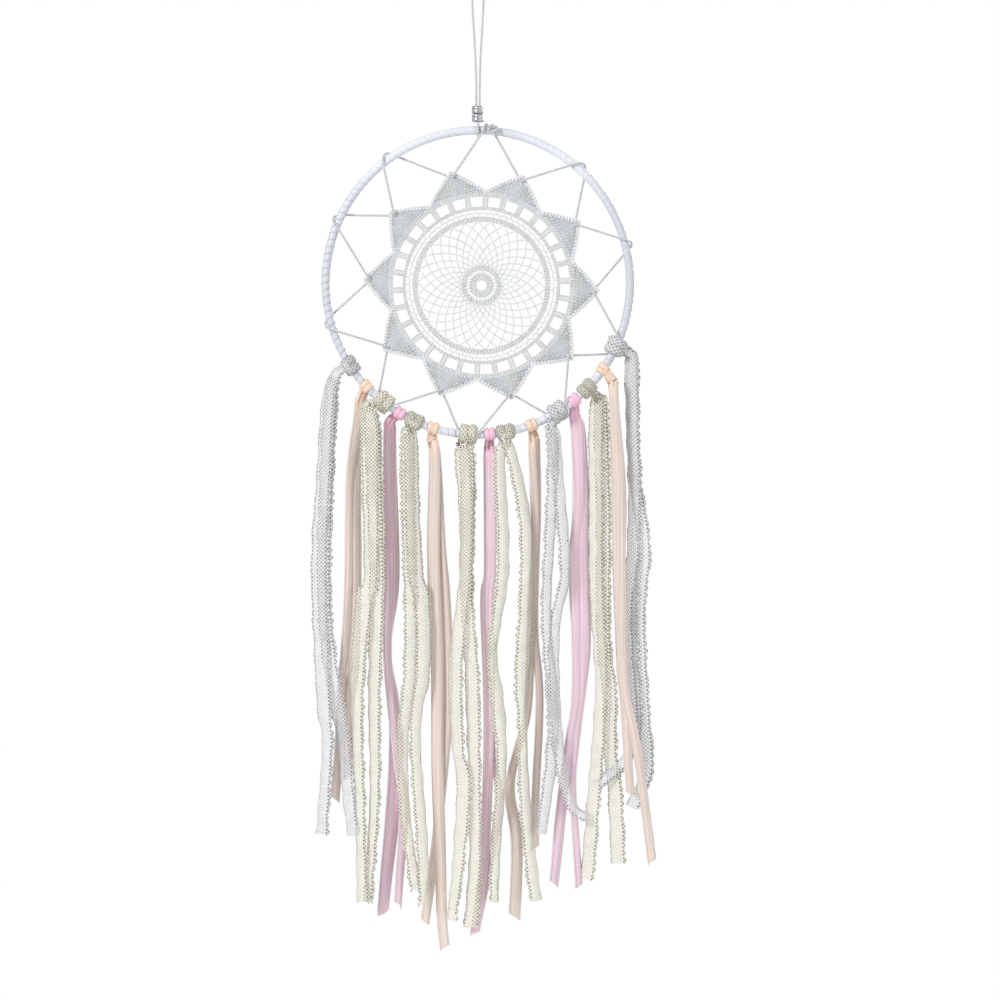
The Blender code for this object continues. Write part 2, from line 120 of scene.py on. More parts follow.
make_light("key_lamp", (-1.5, -1.7, 0.7), 0.7, 33)
make_light("fill_lamp", (1.9, -1.4, -0.4), 1.2, 9)
make_light("back_lamp", (1.2, 1.8, 0.5), 1.0, 30)
print("lamps:", len(bpy.data.lights))


# %% World: white to the eye, softer as a light
def make_world(seen, lit):
    world = bpy.data.worlds.new("white_room")
    bpy.context.scene.world = world
    world.use_nodes = True
    nodes, links = world.node_tree.nodes, world.node_tree.links
    back = nodes["Background"]
    rays = nodes.new("ShaderNodeLightPath")
    mix = nodes.new("ShaderNodeMix")
    mix.inputs["A"].default_value = lit
    mix.inputs["B"].default_value = seen
    links.new(rays.outputs["Is Camera Ray"], mix.inputs["Factor"])
    links.new(mix.outputs["Result"], back.inputs["Strength"])
    back.inputs["Color"].default_value = (1, 1, 1, 1)


make_world(seen=1.0, lit=0.55)
print("world:", bpy.context.scene.world.name)


# %% [markdown]
# ## Small tools
#
# Three helpers carry the rest of the notebook. `Finish` writes a material as a short recipe of nodes.
# `Growth` writes a Geometry Nodes tree one node at a time, and turns its result into a plain mesh. `mesh_of`
# makes a mesh from points and faces. Keeping them small leaves the later cells free to speak about cloth.


# %% A material written as a recipe
class Finish:
    """A Principled material. Its patterns read either the object's own coordinates or a UV map in metres."""

    def __init__(self, name, roughness, uv=None, **shader_values):
        self.material = bpy.data.materials.new(name)
        self.material.use_nodes = True
        self.nodes = self.material.node_tree.nodes
        self.links = self.material.node_tree.links
        self.shader = self.nodes["Principled BSDF"]
        self.shader.inputs["Roughness"].default_value = roughness
        for socket, value in shader_values.items():
            self.shader.inputs[socket.replace("_", " ")].default_value = value
        if uv:
            place = self.add("ShaderNodeUVMap", uv_map=uv)
            self.place = place.outputs["UV"]
        else:
            self.place = self.add("ShaderNodeTexCoord").outputs["Object"]

    def add(self, kind, into=None, **settings):
        node = self.nodes.new(kind)
        for key, value in settings.items():
            setattr(node, key, value)
        for key, value in (into or {}).items():
            self.join(value, node.inputs[key])
        return node

    def join(self, value, socket):
        if isinstance(value, bpy.types.NodeSocket):
            self.links.new(value, socket)
        else:
            socket.default_value = value

    def math(self, operation, first, second=0.0):
        return self.add("ShaderNodeMath", {0: first, 1: second}, operation=operation).outputs[0]

    def stretched(self, scale, turn=0.0):
        """The pattern's coordinates, scaled along each axis and turned about Z."""
        into = {"Vector": self.place, "Scale": scale, "Rotation": (0, 0, turn)}
        return self.add("ShaderNodeMapping", into).outputs["Vector"]

    def noise(self, vector, scale=1.0, detail=3.0):
        into = {"Vector": vector, "Scale": scale, "Detail": detail}
        return self.add("ShaderNodeTexNoise", into).outputs["Fac"]

    def wave(self, vector, axis, scale, distortion=0.0):
        into = {"Vector": vector, "Scale": scale, "Distortion": distortion}
        node = self.add("ShaderNodeTexWave", into, bands_direction=axis)
        return node.outputs["Fac"]

    def ramp(self, value, *stops):
        """Colours or greys along a value: (position, colour), ..."""
        node = self.add("ShaderNodeValToRGB", {0: value})
        elements = node.color_ramp.elements
        while len(elements) < len(stops):
            elements.new(0.5)
        for element, (position, colour) in zip(elements, stops):
            element.position = position
            element.color = (*colour, 1) if len(colour) == 3 else colour
        return node.outputs["Color"]

    def colour(self, socket):
        self.join(socket, self.shader.inputs["Base Color"])

    def bump(self, height, distance, strength=1.0):
        into = {"Height": height, "Distance": distance, "Strength": strength}
        node = self.add("ShaderNodeBump", into)
        self.links.new(node.outputs["Normal"], self.shader.inputs["Normal"])


def shade(colour, factor):
    return tuple(min(1.0, channel * factor) for channel in colour)


# %% A Geometry Nodes tree written a node at a time
class Growth:
    """A tree with named inputs. grow() runs it on an object and gives the result as a plain mesh."""

    def __init__(self, name, **inputs):
        self.group = bpy.data.node_groups.new(name, "GeometryNodeTree")
        face = self.group.interface
        face.new_socket("Geometry", in_out="INPUT", socket_type="NodeSocketGeometry")
        for label, kind in inputs.items():
            face.new_socket(label, in_out="INPUT", socket_type=f"NodeSocket{kind}")
        face.new_socket("Geometry", in_out="OUTPUT", socket_type="NodeSocketGeometry")
        self.given = self.group.nodes.new("NodeGroupInput").outputs

    def add(self, kind, into=None, **settings):
        node = self.group.nodes.new(kind)
        for key, value in settings.items():
            setattr(node, key, value)
        for key, value in (into or {}).items():
            if isinstance(value, bpy.types.NodeSocket):
                self.group.links.new(value, node.inputs[key])
            else:
                node.inputs[key].default_value = value
        return node

    def math(self, operation, first, second=0.0):
        return self.add("ShaderNodeMath", {0: first, 1: second}, operation=operation).outputs[0]

    def vector(self, operation, first, second=(0, 0, 0)):
        return self.add("ShaderNodeVectorMath", {0: first, 1: second}, operation=operation).outputs[0]

    def scaled(self, vector, factor):
        node = self.add("ShaderNodeVectorMath", {0: vector, "Scale": factor}, operation="SCALE")
        return node.outputs[0]

    def combined(self, x, y, z):
        return self.add("ShaderNodeCombineXYZ", {0: x, 1: y, 2: z}).outputs[0]

    def parts(self, vector):
        return self.add("ShaderNodeSeparateXYZ", {0: vector}).outputs

    def finish(self, geometry):
        """Ends the tree: instances become real, then the material is set."""
        real = self.add("GeometryNodeRealizeInstances", {0: geometry}).outputs[0]
        smooth = self.add("GeometryNodeSetShadeSmooth", {"Geometry": real}).outputs[0]
        into = {"Geometry": smooth, "Material": self.given["finish"]}
        painted = self.add("GeometryNodeSetMaterial", into).outputs[0]
        self.group.links.new(painted, self.group.nodes.new("NodeGroupOutput").inputs[0])

    def grow(self, obj, **sizes):
        modifier = obj.modifiers.new(self.group.name, "NODES")
        modifier.node_group = self.group
        sockets = {s.name: s.identifier for s in self.group.interface.items_tree if s.in_out == "INPUT"}
        for label, value in sizes.items():
            modifier[sockets[label]] = value
        bpy.context.view_layer.update()
        graph = bpy.context.evaluated_depsgraph_get()
        mesh = bpy.data.meshes.new_from_object(obj.evaluated_get(graph))
        obj.modifiers.clear()
        return mesh


# %% Objects from points and faces
def link(name, data):
    obj = bpy.data.objects.new(name, data)
    bpy.context.scene.collection.objects.link(obj)
    return obj


def mesh_of(points, faces, uv=None):
    """A plain smooth mesh. uv is one (u, v) for each point."""
    mesh = bpy.data.meshes.new("mesh")
    mesh.from_pydata([tuple(p) for p in points], [], faces)
    mesh.shade_smooth()
    if uv is not None:
        layer = mesh.uv_layers.new(name="cloth")
        corners = np.zeros(len(mesh.loops), np.int32)
        mesh.loops.foreach_get("vertex_index", corners)
        layer.data.foreach_set("uv", np.asarray(uv, np.float32)[corners].ravel())
    return mesh


def joined(name, meshes, finish=None):
    """One object that holds all the meshes, each with its own material, or with the given one."""
    parts = [link(f"{name}_part", mesh) for mesh in meshes]
    if finish:
        for part in parts:
            part.data.materials.clear()
            part.data.materials.append(finish)
    with bpy.context.temp_override(active_object=parts[0], selected_editable_objects=parts):
        bpy.ops.object.join()
    whole = parts[0]
    whole.name = name
    whole.data.name = name
    return whole


def poly_curve(lines):
    """A curve data block of poly splines. Each line is (points, closed)."""
    curve = bpy.data.curves.new("lines", "CURVE")
    curve.dimensions = "3D"
    for points, closed in lines:
        spline = curve.splines.new("POLY")
        spline.points.add(len(points) - 1)
        flat = np.ones((len(points), 4), np.float32)
        flat[:, :3] = points
        spline.points.foreach_set("co", flat.ravel())
        spline.use_cyclic_u = closed
    return curve


def count_triangles(obj):
    obj.data.calc_loop_triangles()
    return len(obj.data.loop_triangles)


def smooth_line(points, spacing):
    """A Catmull-Rom curve through the points, read about every spacing metres."""
    points = [np.asarray(p, float) for p in points]
    read = []
    for i in range(len(points) - 1):
        before, after = points[max(i - 1, 0)], points[min(i + 2, len(points) - 1)]
        start, stop = points[i], points[i + 1]
        count = max(1, round(np.linalg.norm(stop - start) / spacing))
        for t in np.arange(count) / count:
            curved = (2 * before - 5 * start + 4 * stop - after) * t**2
            curved += (3 * start - before - 3 * stop + after) * t**3
            read.append(0.5 * (2 * start + (stop - before) * t + curved))
    return np.array(read + [points[-1]])


def line_length(points):
    return float(np.linalg.norm(np.diff(points, axis=0), axis=1).sum())


# %% [markdown]
# ## Twisted cotton cord
#
# The hanging loop, its bight round the hoop and the lacing are all one kind of cord: two plies of cotton
# twisted together. A smooth tube would look like wire. Here a Geometry Nodes tree copies the cord's line once
# for each ply and winds each copy round it, half a turn apart, so the plies really lie in each other's
# grooves and the cord's edge shows the small waves that twisted cord has.

# %% The twisting tree
CORD_LEAD = 0.0032  # length of cord in which a ply goes once round
PLIES = 2
PLY_SHARE = 0.50  # a ply's radius, as a share of the cord's
PLY_SPACING = 0.00045


def twisting_tree():
    tree = Growth(
        "twisted_cord", plies="Int", lead="Float", ply_radius="Float", off_line="Float",
        spacing="Float", finish="Material",
    )
    given = tree.given
    into = {"Curve": given["Geometry"], "Length": given["spacing"]}
    even = tree.add("GeometryNodeResampleCurve", into, mode="LENGTH").outputs[0]
    kept = tree.add("GeometryNodeCaptureAttribute", {"Geometry": even})
    kept.capture_items.new("VECTOR", "axis")
    tree.group.links.new(tree.add("GeometryNodeInputPosition").outputs[0], kept.inputs[1])
    even = kept.outputs[0]
    copies = tree.add("GeometryNodeDuplicateElements", {0: even, "Amount": given["plies"]}, domain="SPLINE")
    along = tree.add("GeometryNodeSplineParameter").outputs["Length"]
    tangent = tree.add("GeometryNodeInputTangent").outputs[0]
    normal = tree.add("GeometryNodeInputNormal").outputs[0]
    across = tree.vector("CROSS_PRODUCT", tangent, normal)
    turns = tree.math("DIVIDE", along, given["lead"])
    share = tree.math("DIVIDE", copies.outputs["Duplicate Index"], given["plies"])
    angle = tree.math("MULTIPLY", tree.math("ADD", turns, share), math.tau)
    sideways = tree.scaled(normal, tree.math("COSINE", angle))
    upwards = tree.scaled(across, tree.math("SINE", angle))
    offset = tree.scaled(tree.vector("ADD", sideways, upwards), given["off_line"])
    wound = tree.add("GeometryNodeSetPosition", {"Geometry": copies.outputs[0], "Offset": offset}).outputs[0]
    circle = tree.add("GeometryNodeCurvePrimitiveCircle", {"Resolution": 6, "Radius": given["ply_radius"]})
    into = {"Curve": wound, "Profile Curve": circle.outputs[0], "Fill Caps": True}
    plies = tree.add("GeometryNodeCurveToMesh", into).outputs[0]
    # crest: distance from the cord's axis, read by the finish to paint shade into the grooves between the
    # plies.
    away = tree.add(
        "ShaderNodeVectorMath", {0: tree.add("GeometryNodeInputPosition").outputs[0], 1: kept.outputs[1]},
        operation="DISTANCE",
    ).outputs["Value"]
    crest = tree.math("DIVIDE", away, tree.math("ADD", given["off_line"], given["ply_radius"]))
    into = {"Geometry": plies, "Name": "crest", "Value": crest}
    marked = tree.add("GeometryNodeStoreNamedAttribute", into, data_type="FLOAT", domain="POINT")
    tree.finish(marked.outputs[0])
    return tree


twisting = twisting_tree()


def twisted_cord(name, route, finish, closed=False):
    """A cord of twisted plies along a line of points, as one plain mesh."""
    line = link("cord_line", poly_curve([(route, closed)]))
    ply_radius = PLY_SHARE * CORD_RADIUS
    mesh = twisting.grow(
        line, plies=PLIES, lead=CORD_LEAD, ply_radius=ply_radius, off_line=CORD_RADIUS - ply_radius,
        spacing=PLY_SPACING, finish=finish,
    )
    bpy.data.objects.remove(line)
    cord = link(name, mesh)
    print(f"{name}: {1000 * line_length(route):.0f} mm of cord, {count_triangles(cord)} triangles")
    return cord


# %% [markdown]
# Cotton yarn is matt, slightly uneven in colour, and covered with very fine fibres that run along each ply.
# The finish keeps the colour almost white, greys it a little in patches, and raises fine streaks. Where it is
# given a crest, it also darkens the low places: a painted shade in the hollows between plies and between
# stitches.


# %% Cotton cord finish
def cotton_finish(name, colour, grain=2600.0, crest=None, low=0.0, high=1.0, dark=0.5, uv=None):
    """Matt cotton. crest gives how far a point stands out of its cloth: below low the colour is darkened
    towards dark, a painted shade.
    """
    finish = Finish(name, 0.82, uv=uv, Sheen_Weight=0.35, Sheen_Roughness=0.4, Specular_IOR_Level=0.25)
    patches = finish.noise(finish.place, scale=170, detail=4)
    fibres = finish.noise(finish.stretched((1, 1, 0.45)), scale=grain, detail=2)
    mixed = finish.math("ADD", finish.math("MULTIPLY", patches, 0.6), finish.math("MULTIPLY", fibres, 0.4))
    yarn = finish.ramp(mixed, (0.32, shade(colour, 0.86)), (0.5, colour), (0.7, shade(colour, 1.07)))
    if crest:
        into = {"Value": crest(finish), "From Min": low, "From Max": high}
        out = finish.add("ShaderNodeMapRange", into).outputs[0]
        # Painted shade in the hollows: the colour is multiplied down towards dark where the crest is low.
        painted_groove_shade = finish.ramp(out, (0.0, (dark,) * 3), (1.0, (1.0,) * 3))
        mix = finish.add("ShaderNodeMix", {"Factor": 1.0}, data_type="RGBA", blend_type="MULTIPLY")
        finish.join(yarn, mix.inputs[6])
        finish.join(painted_groove_shade, mix.inputs[7])
        yarn = mix.outputs[2]
    finish.colour(yarn)
    finish.bump(fibres, 0.00012, 0.6)
    return finish.material


def crest_of_ply(finish):
    return finish.add("ShaderNodeAttribute", attribute_name="crest").outputs["Fac"]


# Painted shade: the crest ramp darkens the grooves between the two plies.
cord_cotton = cotton_finish(
    "cotton_cord_finish", (0.80, 0.81, 0.83), crest=crest_of_ply, low=0.50, high=0.88, dark=0.36
)

# %% [markdown]
# ## The hanging loop
#
# One cord goes up from the hoop through both beads, over the hook and back down. Its two sides touch inside
# the beads and part slowly above them. The route below is the working model's own route. The loop is held by
# the hook and turns with the hoop at its foot.

# %% The loop's route
STRAND_GAP = 0.0004
STRAND_X = CORD_RADIUS + STRAND_GAP / 2
LOOP_WIDTH = 0.0078
BEAD_TRAVEL = 0.0060
bead_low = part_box("bead_lower")[0]
BEAD_FLOOR_Z = bead_low.z
BEAD_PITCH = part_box("bead_upper")[0].z - bead_low.z


def loop_route():
    """Up the left strand, over the hook and down the right one."""
    spread_start = BEAD_FLOOR_Z + 2 * (BEAD_PITCH + BEAD_TRAVEL)
    half_width = LOOP_WIDTH / 2
    bend_z = CORD_RADIUS - half_width
    side = [(STRAND_X, BEAD_FLOOR_Z), (STRAND_X, (BEAD_FLOOR_Z + spread_start) / 2), (STRAND_X, spread_start)]
    for share, opened in ((0.25, 0.16), (0.5, 0.5), (0.75, 0.84), (1.0, 1.0)):
        x = STRAND_X + (half_width - STRAND_X) * opened
        side.append((x, spread_start + (bend_z - spread_start) * share))
    for turn in (30, 60):
        lean = math.radians(turn)
        side.append((half_width * math.cos(lean), bend_z + half_width * math.sin(lean)))
    left = [(-x, 0, z) for x, z in side]
    right = [(x, 0, z) for x, z in reversed(side)]
    return smooth_line(left + [(0, 0, CORD_RADIUS)] + right, 0.002)


# %% The loop, twisted
loop_line = loop_route()
loop = twisted_cord("hanging_cord", loop_line, cord_cotton)
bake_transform(loop)
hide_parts("hanging_loop")


# %% The bight that hitches the loop to the hoop
def ring_line(centre, across, radius, steps=48):
    """A circle of points whose hole looks along the unit vector across."""
    across = Vector(across)
    side_way = np.array(across.orthogonal().normalized())
    up_way = np.cross(np.array(across), side_way)
    turns = np.arange(steps) * math.tau / steps
    return centre + radius * (np.outer(np.cos(turns), side_way) + np.outer(np.sin(turns), up_way))


hitch_low, hitch_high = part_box("hanging_hitch")
hitch_radius = (hitch_high.y - hitch_low.y) / 2 - CORD_RADIUS
hitch = twisted_cord(
    "hitch_cord", ring_line(np.array([0, 0, TOP_TUBE_Z]), (1, 0, 0), hitch_radius), cord_cotton, closed=True
)
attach(hitch, "hitch")
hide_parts("hanging_hitch")

# %% [markdown]
# ## The lacing
#
# The star hangs in the hoop on one long cord, which zigzags between the hoop and the star's tips. At the hoop
# it goes round the tube once, from the front over the outer side to the back. At a tip it comes through the
# crochet from behind. Only the directions where it meets the hoop are listed; the rest is worked out.

# %% The lacing's route
DOILY_CENTRE = HOOP_CENTRE + np.array([0.0022, 0, -0.0019])
DOILY_POINTS = 10
DOILY_TURN = 69.2  # direction of one star point, anticlockwise from +X
TIP_RADIUS = 0.075
EYELET_INSET = 0.0036
TURN_RADIUS = 0.0024
LACING_RADIUS = TUBE_RADIUS + 0.00045 + CORD_RADIUS
ANCHORS = [
    (51.1, 45.0),
    (16.5, 11.6),
    (-21.4, -28.1),
    (-55.0, -61.7),
    (-90.0, -97.0),
    (-125.0, -131.3),
    (-161.4, -167.3),
    (-201.5, -206.7),
    (-231.2, -237.1),
]
HITCH_SAMPLES = 40
END_WRAPS_GAP = 0.0006
FIRST_WRAP_LEAD = 0.9
LAST_WRAP_LEAD = 1.7
CLEARANCE = 0.0003


def on_circle(centre, angle, radius):
    turn = np.radians(angle)
    spoke = np.stack([np.cos(turn), np.zeros_like(turn), np.sin(turn)], -1)
    return centre + np.asarray(radius)[..., None] * spoke


def on_hoop(angle, roll=0.0, radius=0.0):
    """A point near the tube. Roll 0 is the hoop's inner side, 90 the front, 180 outside, 270 the back."""
    angle, roll = np.asarray(angle, float), np.radians(np.asarray(roll, float))
    flat = on_circle(HOOP_CENTRE, angle, RING_RADIUS - np.asarray(radius) * np.cos(roll))
    return flat + (np.asarray(radius) * np.sin(roll))[..., None] * FRONT


def wrap_points(wrap):
    share = np.linspace(0, 1, 7)
    return list(on_hoop(wrap[0] + (wrap[1] - wrap[0]) * share, 80 + 200 * share, LACING_RADIUS))


def unit(vector):
    return vector / np.linalg.norm(vector)


def turn_points(eyelet, came_from, goes_to):
    """The cord's way through a star tip: in from the back and out at the front."""
    backwards, onwards = unit(came_from - eyelet), unit(goes_to - eyelet)
    points = []
    for share in np.linspace(0, 1, 7):
        turn = math.radians(-90 + 180 * share)
        outwards = unit((backwards + (onwards - backwards) * share) * (1, 0, 1))
        points.append(eyelet + TURN_RADIUS * ((1 - math.cos(turn)) * outwards + math.sin(turn) * FRONT))
    return points


def tip_angles():
    return [DOILY_TURN - 360 / DOILY_POINTS * i for i in range(DOILY_POINTS)]


def room_to_hitch(start, stop):
    """The least distance between a straight strand's line and the line of the hitch."""
    places = start + np.linspace(0, 1, HITCH_SAMPLES + 1)[:, None] * (stop - start)
    off_ring = np.hypot(places[:, 1], places[:, 2] - TOP_TUBE_Z) - hitch_radius
    return np.hypot(off_ring, places[:, 0]).min()


def end_wraps():
    """The last turn slides right until its strand clears the hitch, and the first turn lies beside it."""
    eyelet = on_circle(DOILY_CENTRE, tip_angles()[-1], TIP_RADIUS - EYELET_INSET)
    came, room = -270.0, 0.0
    while room < 2 * CORD_RADIUS + CLEARANCE:
        came -= 0.05
        onwards = wrap_points((came, came - LAST_WRAP_LEAD))
        strand = [turn_points(eyelet, wrap_points(ANCHORS[-1])[-1], onwards[0])[-1], *onwards]
        room = min(room_to_hitch(a, b) for a, b in zip(strand, strand[1:]))
    last = (came, came - LAST_WRAP_LEAD)
    beside = last[1] + 360 - math.degrees((2 * CORD_RADIUS + END_WRAPS_GAP) / RING_RADIUS)
    return (beside, beside - FIRST_WRAP_LEAD), last


def lacing_route():
    first, last = end_wraps()
    points = wrap_points(first)
    for angle, wrap in zip(tip_angles(), [*ANCHORS, last]):
        eyelet = on_circle(DOILY_CENTRE, angle, TIP_RADIUS - EYELET_INSET)
        onwards = wrap_points(wrap)
        points += turn_points(eyelet, points[-1], onwards[0]) + onwards
    return np.array(points)


# %% The lacing, with the knot that ties its two ends
KNOT_ANGLE = 84.6
KNOT_RADIUS = 0.0017
KNOT_STRETCH = 1.35  # the knot is this much wider than high
KNOT_DEPTH = 0.0009


def knot_route():
    """A small overhand knot: a trefoil of cord on the hoop's inner side, just right of the beads."""
    turns = np.linspace(0, math.tau, 60, endpoint=False)
    reach = KNOT_RADIUS * (1 + 0.45 * np.cos(3 * turns))
    centre = on_hoop(KNOT_ANGLE, 100, LACING_RADIUS + 0.0014)
    east = KNOT_STRETCH * reach * np.cos(2 * turns)
    out = KNOT_DEPTH * np.sin(3 * turns)
    up = reach * np.sin(2 * turns)
    return centre + np.stack([east, out, up], -1)


lacing_line = lacing_route()
lacing_meshes = [
    twisted_cord("lacing", lacing_line, cord_cotton).data,
    twisted_cord("lacing_knot", knot_route(), cord_cotton, closed=True).data,
]
for made in ("lacing", "lacing_knot"):
    bpy.data.objects.remove(bpy.data.objects[made])
lacing = joined("lacing_cord", lacing_meshes)
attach(lacing, "hoop")
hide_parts("web_cord")

# %% [markdown]
# ## The wound hoop
#
# Under the satin is a plain steel ring; it stays as it is in the working model and is never seen. What shows
# is a ribbon wound round and round the tube, each turn lapping over the one before. A torus with stripes
# would have no laps at its outline. So the tree bends a long flat grid into a helix round the ring: one side
# of the grid lies a little lower than the other, which makes every lap a real step.

# %% The winding tree
WINDING_TURNS = 132
WOUND_WIDTH = 0.0064
LAP_STEP = 0.00034
TURN_STEPS = 20
SEAM = 0.8  # degrees left open on each side of the top


def winding_tree():
    tree = Growth(
        "wound_ribbon", centre="Vector", ring="Float", tube="Float", turns="Float", width="Float",
        step="Float", start="Float", sweep="Float", columns="Int", finish="Material",
    )
    given = tree.given
    into = {"Size X": 1.0, "Size Y": 1.0, "Vertices X": given["columns"], "Vertices Y": 5}
    grid = tree.add("GeometryNodeMeshGrid", into)
    x, y, _ = tree.parts(tree.add("GeometryNodeInputPosition").outputs[0])
    along = tree.math("ADD", x, 0.5)
    across = tree.math("MULTIPLY", y, given["width"])
    angle = tree.math("ADD", given["start"], tree.math("MULTIPLY", along, given["sweep"]))
    angle = tree.math("ADD", angle, tree.math("DIVIDE", across, given["ring"]))
    roll = tree.math("MULTIPLY", tree.math("MULTIPLY", along, given["turns"]), math.tau)
    crown = tree.math("SUBTRACT", 0.25, tree.math("MULTIPLY", y, y))
    lift = tree.math("ADD", tree.math("MULTIPLY", y, given["step"]), tree.math("MULTIPLY", crown, 0.0005))
    radius = tree.math("ADD", given["tube"], lift)
    inwards = tree.math("MULTIPLY", radius, tree.math("COSINE", roll))
    reach = tree.math("SUBTRACT", given["ring"], inwards)
    depth = tree.math("MULTIPLY", tree.math("MULTIPLY", radius, tree.math("SINE", roll)), -1.0)
    east = tree.math("MULTIPLY", reach, tree.math("COSINE", angle))
    north = tree.math("MULTIPLY", reach, tree.math("SINE", angle))
    place = tree.vector("ADD", given["centre"], tree.combined(east, depth, north))
    bent = tree.add("GeometryNodeSetPosition", {"Geometry": grid.outputs[0], "Position": place}).outputs[0]
    into = {"Geometry": bent, "Name": "cloth", "Value": tree.combined(across, along, 0.0)}
    mapped = tree.add("GeometryNodeStoreNamedAttribute", into, data_type="FLOAT2", domain="CORNER")
    tree.finish(mapped.outputs[0])
    return tree


# %% [markdown]
# Satin shines because its threads float along the surface in one direction. The finish has fine threads
# along the ribbon, softly uneven colour in long streaks, a painted highlight along each edge with a painted
# shade line just inside it, and a sheen at grazing angles.
# The satin is white with a breath of blue, as bleached ribbon is.


# %% Satin finishes
def satin_finish(name, colour, knot_colour=None, half_width=0.005):
    finish = Finish(name, 0.36, uv="cloth", Sheen_Weight=0.25, Sheen_Roughness=0.3, Specular_IOR_Level=0.5)
    streaks = finish.noise(finish.stretched((900, 14, 1)), detail=3)
    patches = finish.noise(finish.stretched((90, 40, 1)), detail=2)
    threads = finish.wave(finish.stretched((1, 0.02, 1)), "X", scale=900, distortion=1.5)
    body = finish.ramp(streaks, (0.3, shade(colour, 0.80)), (0.52, colour), (0.70, shade(colour, 1.16)))
    x, y, _ = finish.add("ShaderNodeSeparateXYZ", {0: finish.place}).outputs
    if knot_colour:
        near = finish.add("ShaderNodeMapRange", {"Value": y, "From Min": 0.004, "From Max": 0.022})
        mix = finish.add("ShaderNodeMix", {"Factor": near.outputs[0]}, data_type="RGBA")
        finish.join((*knot_colour, 1), mix.inputs[6])
        finish.join(body, mix.inputs[7])
        body = mix.outputs[2]
    edge = finish.math("DIVIDE", finish.math("ABSOLUTE", x), half_width)
    # Painted highlight: the outermost part of each edge is lightened with a screen of grey.
    painted_edge_highlight = finish.ramp(edge, (0.84, (0, 0, 0)), (0.9, (1, 1, 1)))
    # Painted shade: a darker line runs just inside each edge.
    beside = finish.ramp(edge, (0.66, (1, 1, 1)), (0.80, (0.74, 0.72, 0.72)), (0.86, (1, 1, 1)))
    with_edge_shade = finish.add("ShaderNodeMix", {"Factor": 1.0}, data_type="RGBA", blend_type="MULTIPLY")
    finish.join(body, with_edge_shade.inputs[6])
    finish.join(beside, with_edge_shade.inputs[7])
    body = with_edge_shade.outputs[2]
    with_edge_highlight = finish.add("ShaderNodeMix", {"Factor": painted_edge_highlight}, data_type="RGBA", blend_type="SCREEN")
    finish.join(body, with_edge_highlight.inputs[6])
    finish.join((0.34, 0.34, 0.34, 1), with_edge_highlight.inputs[7])
    finish.colour(with_edge_highlight.outputs[2])
    gloss = finish.ramp(patches, (0.3, (0.30,) * 3), (0.7, (0.44,) * 3))
    finish.join(gloss, finish.shader.inputs["Roughness"])
    height = finish.math("ADD", finish.math("MULTIPLY", threads, 0.3), streaks)
    finish.bump(height, 0.00010, 0.55)
    return finish.material


white_satin = satin_finish("white_satin_finish", (0.79, 0.815, 0.885), half_width=WOUND_WIDTH / 2)

# %% Wind the hoop
winding = winding_tree()
seed_object = link("winding_seed", mesh_of([(0, 0, 0)], []))
wound = link(
    "wound_hoop",
    winding.grow(
        seed_object, centre=tuple(HOOP_CENTRE), ring=RING_RADIUS, tube=TUBE_RADIUS - 0.0002,
        turns=float(WINDING_TURNS), width=WOUND_WIDTH, step=LAP_STEP, start=math.radians(90 + SEAM),
        sweep=math.radians(360 - 2 * SEAM), columns=WINDING_TURNS * TURN_STEPS + 1, finish=white_satin,
    ),
)
bpy.data.objects.remove(seed_object)
thickness = wound.modifiers.new("cloth_thickness", "SOLIDIFY")
thickness.thickness = 0.00014
thickness.offset = -1
print("wound_hoop:", WINDING_TURNS, "turns,", count_triangles(wound), "triangles before thickness")
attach(wound, "hoop")
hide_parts("hoop_wrap")

# %% The steel ring under the satin
steel = Finish("steel_finish", 0.35, Metallic=1.0)
scratches = steel.noise(steel.stretched((1, 1, 1)), scale=900, detail=4)
steel.colour(steel.ramp(scratches, (0.35, (0.42, 0.43, 0.45)), (0.65, (0.60, 0.61, 0.63))))
steel.bump(scratches, 0.00003, 0.5)
frame["nodes"]["hoop_core"].data.materials[0] = steel.material
print("steel ring finished with", len(steel.nodes), "nodes")

# %% [markdown]
# ## Beads
#
# Two small cast beads hold the loop's two sides together. Each is a drum with flutes round its belly, so it
# is turned from a profile whose radius also waves round the axis. The metal is dull silver with worn,
# brighter flutes: the wear follows a noise, because a cast bead is never polished evenly.

# %% Bead metal
metal = Finish("bead_metal_finish", 0.30, Metallic=1.0, Coat_Weight=0.1)
wear = metal.noise(metal.place, scale=700, detail=5)
TARNISH, SILVER, WORN = (0.34, 0.35, 0.37), (0.62, 0.63, 0.65), (0.85, 0.86, 0.88)
metal.colour(metal.ramp(wear, (0.30, TARNISH), (0.5, SILVER), (0.7, WORN)))
metal.join(metal.ramp(wear, (0.3, (0.42,) * 3), (0.7, (0.20,) * 3)), metal.shader.inputs["Roughness"])
metal.bump(wear, 0.00005, 0.5)

# %% Turn the beads
BEAD_SIDES = 60
FLUTES = 10
FLUTE_DEPTH = 0.055  # of the radius


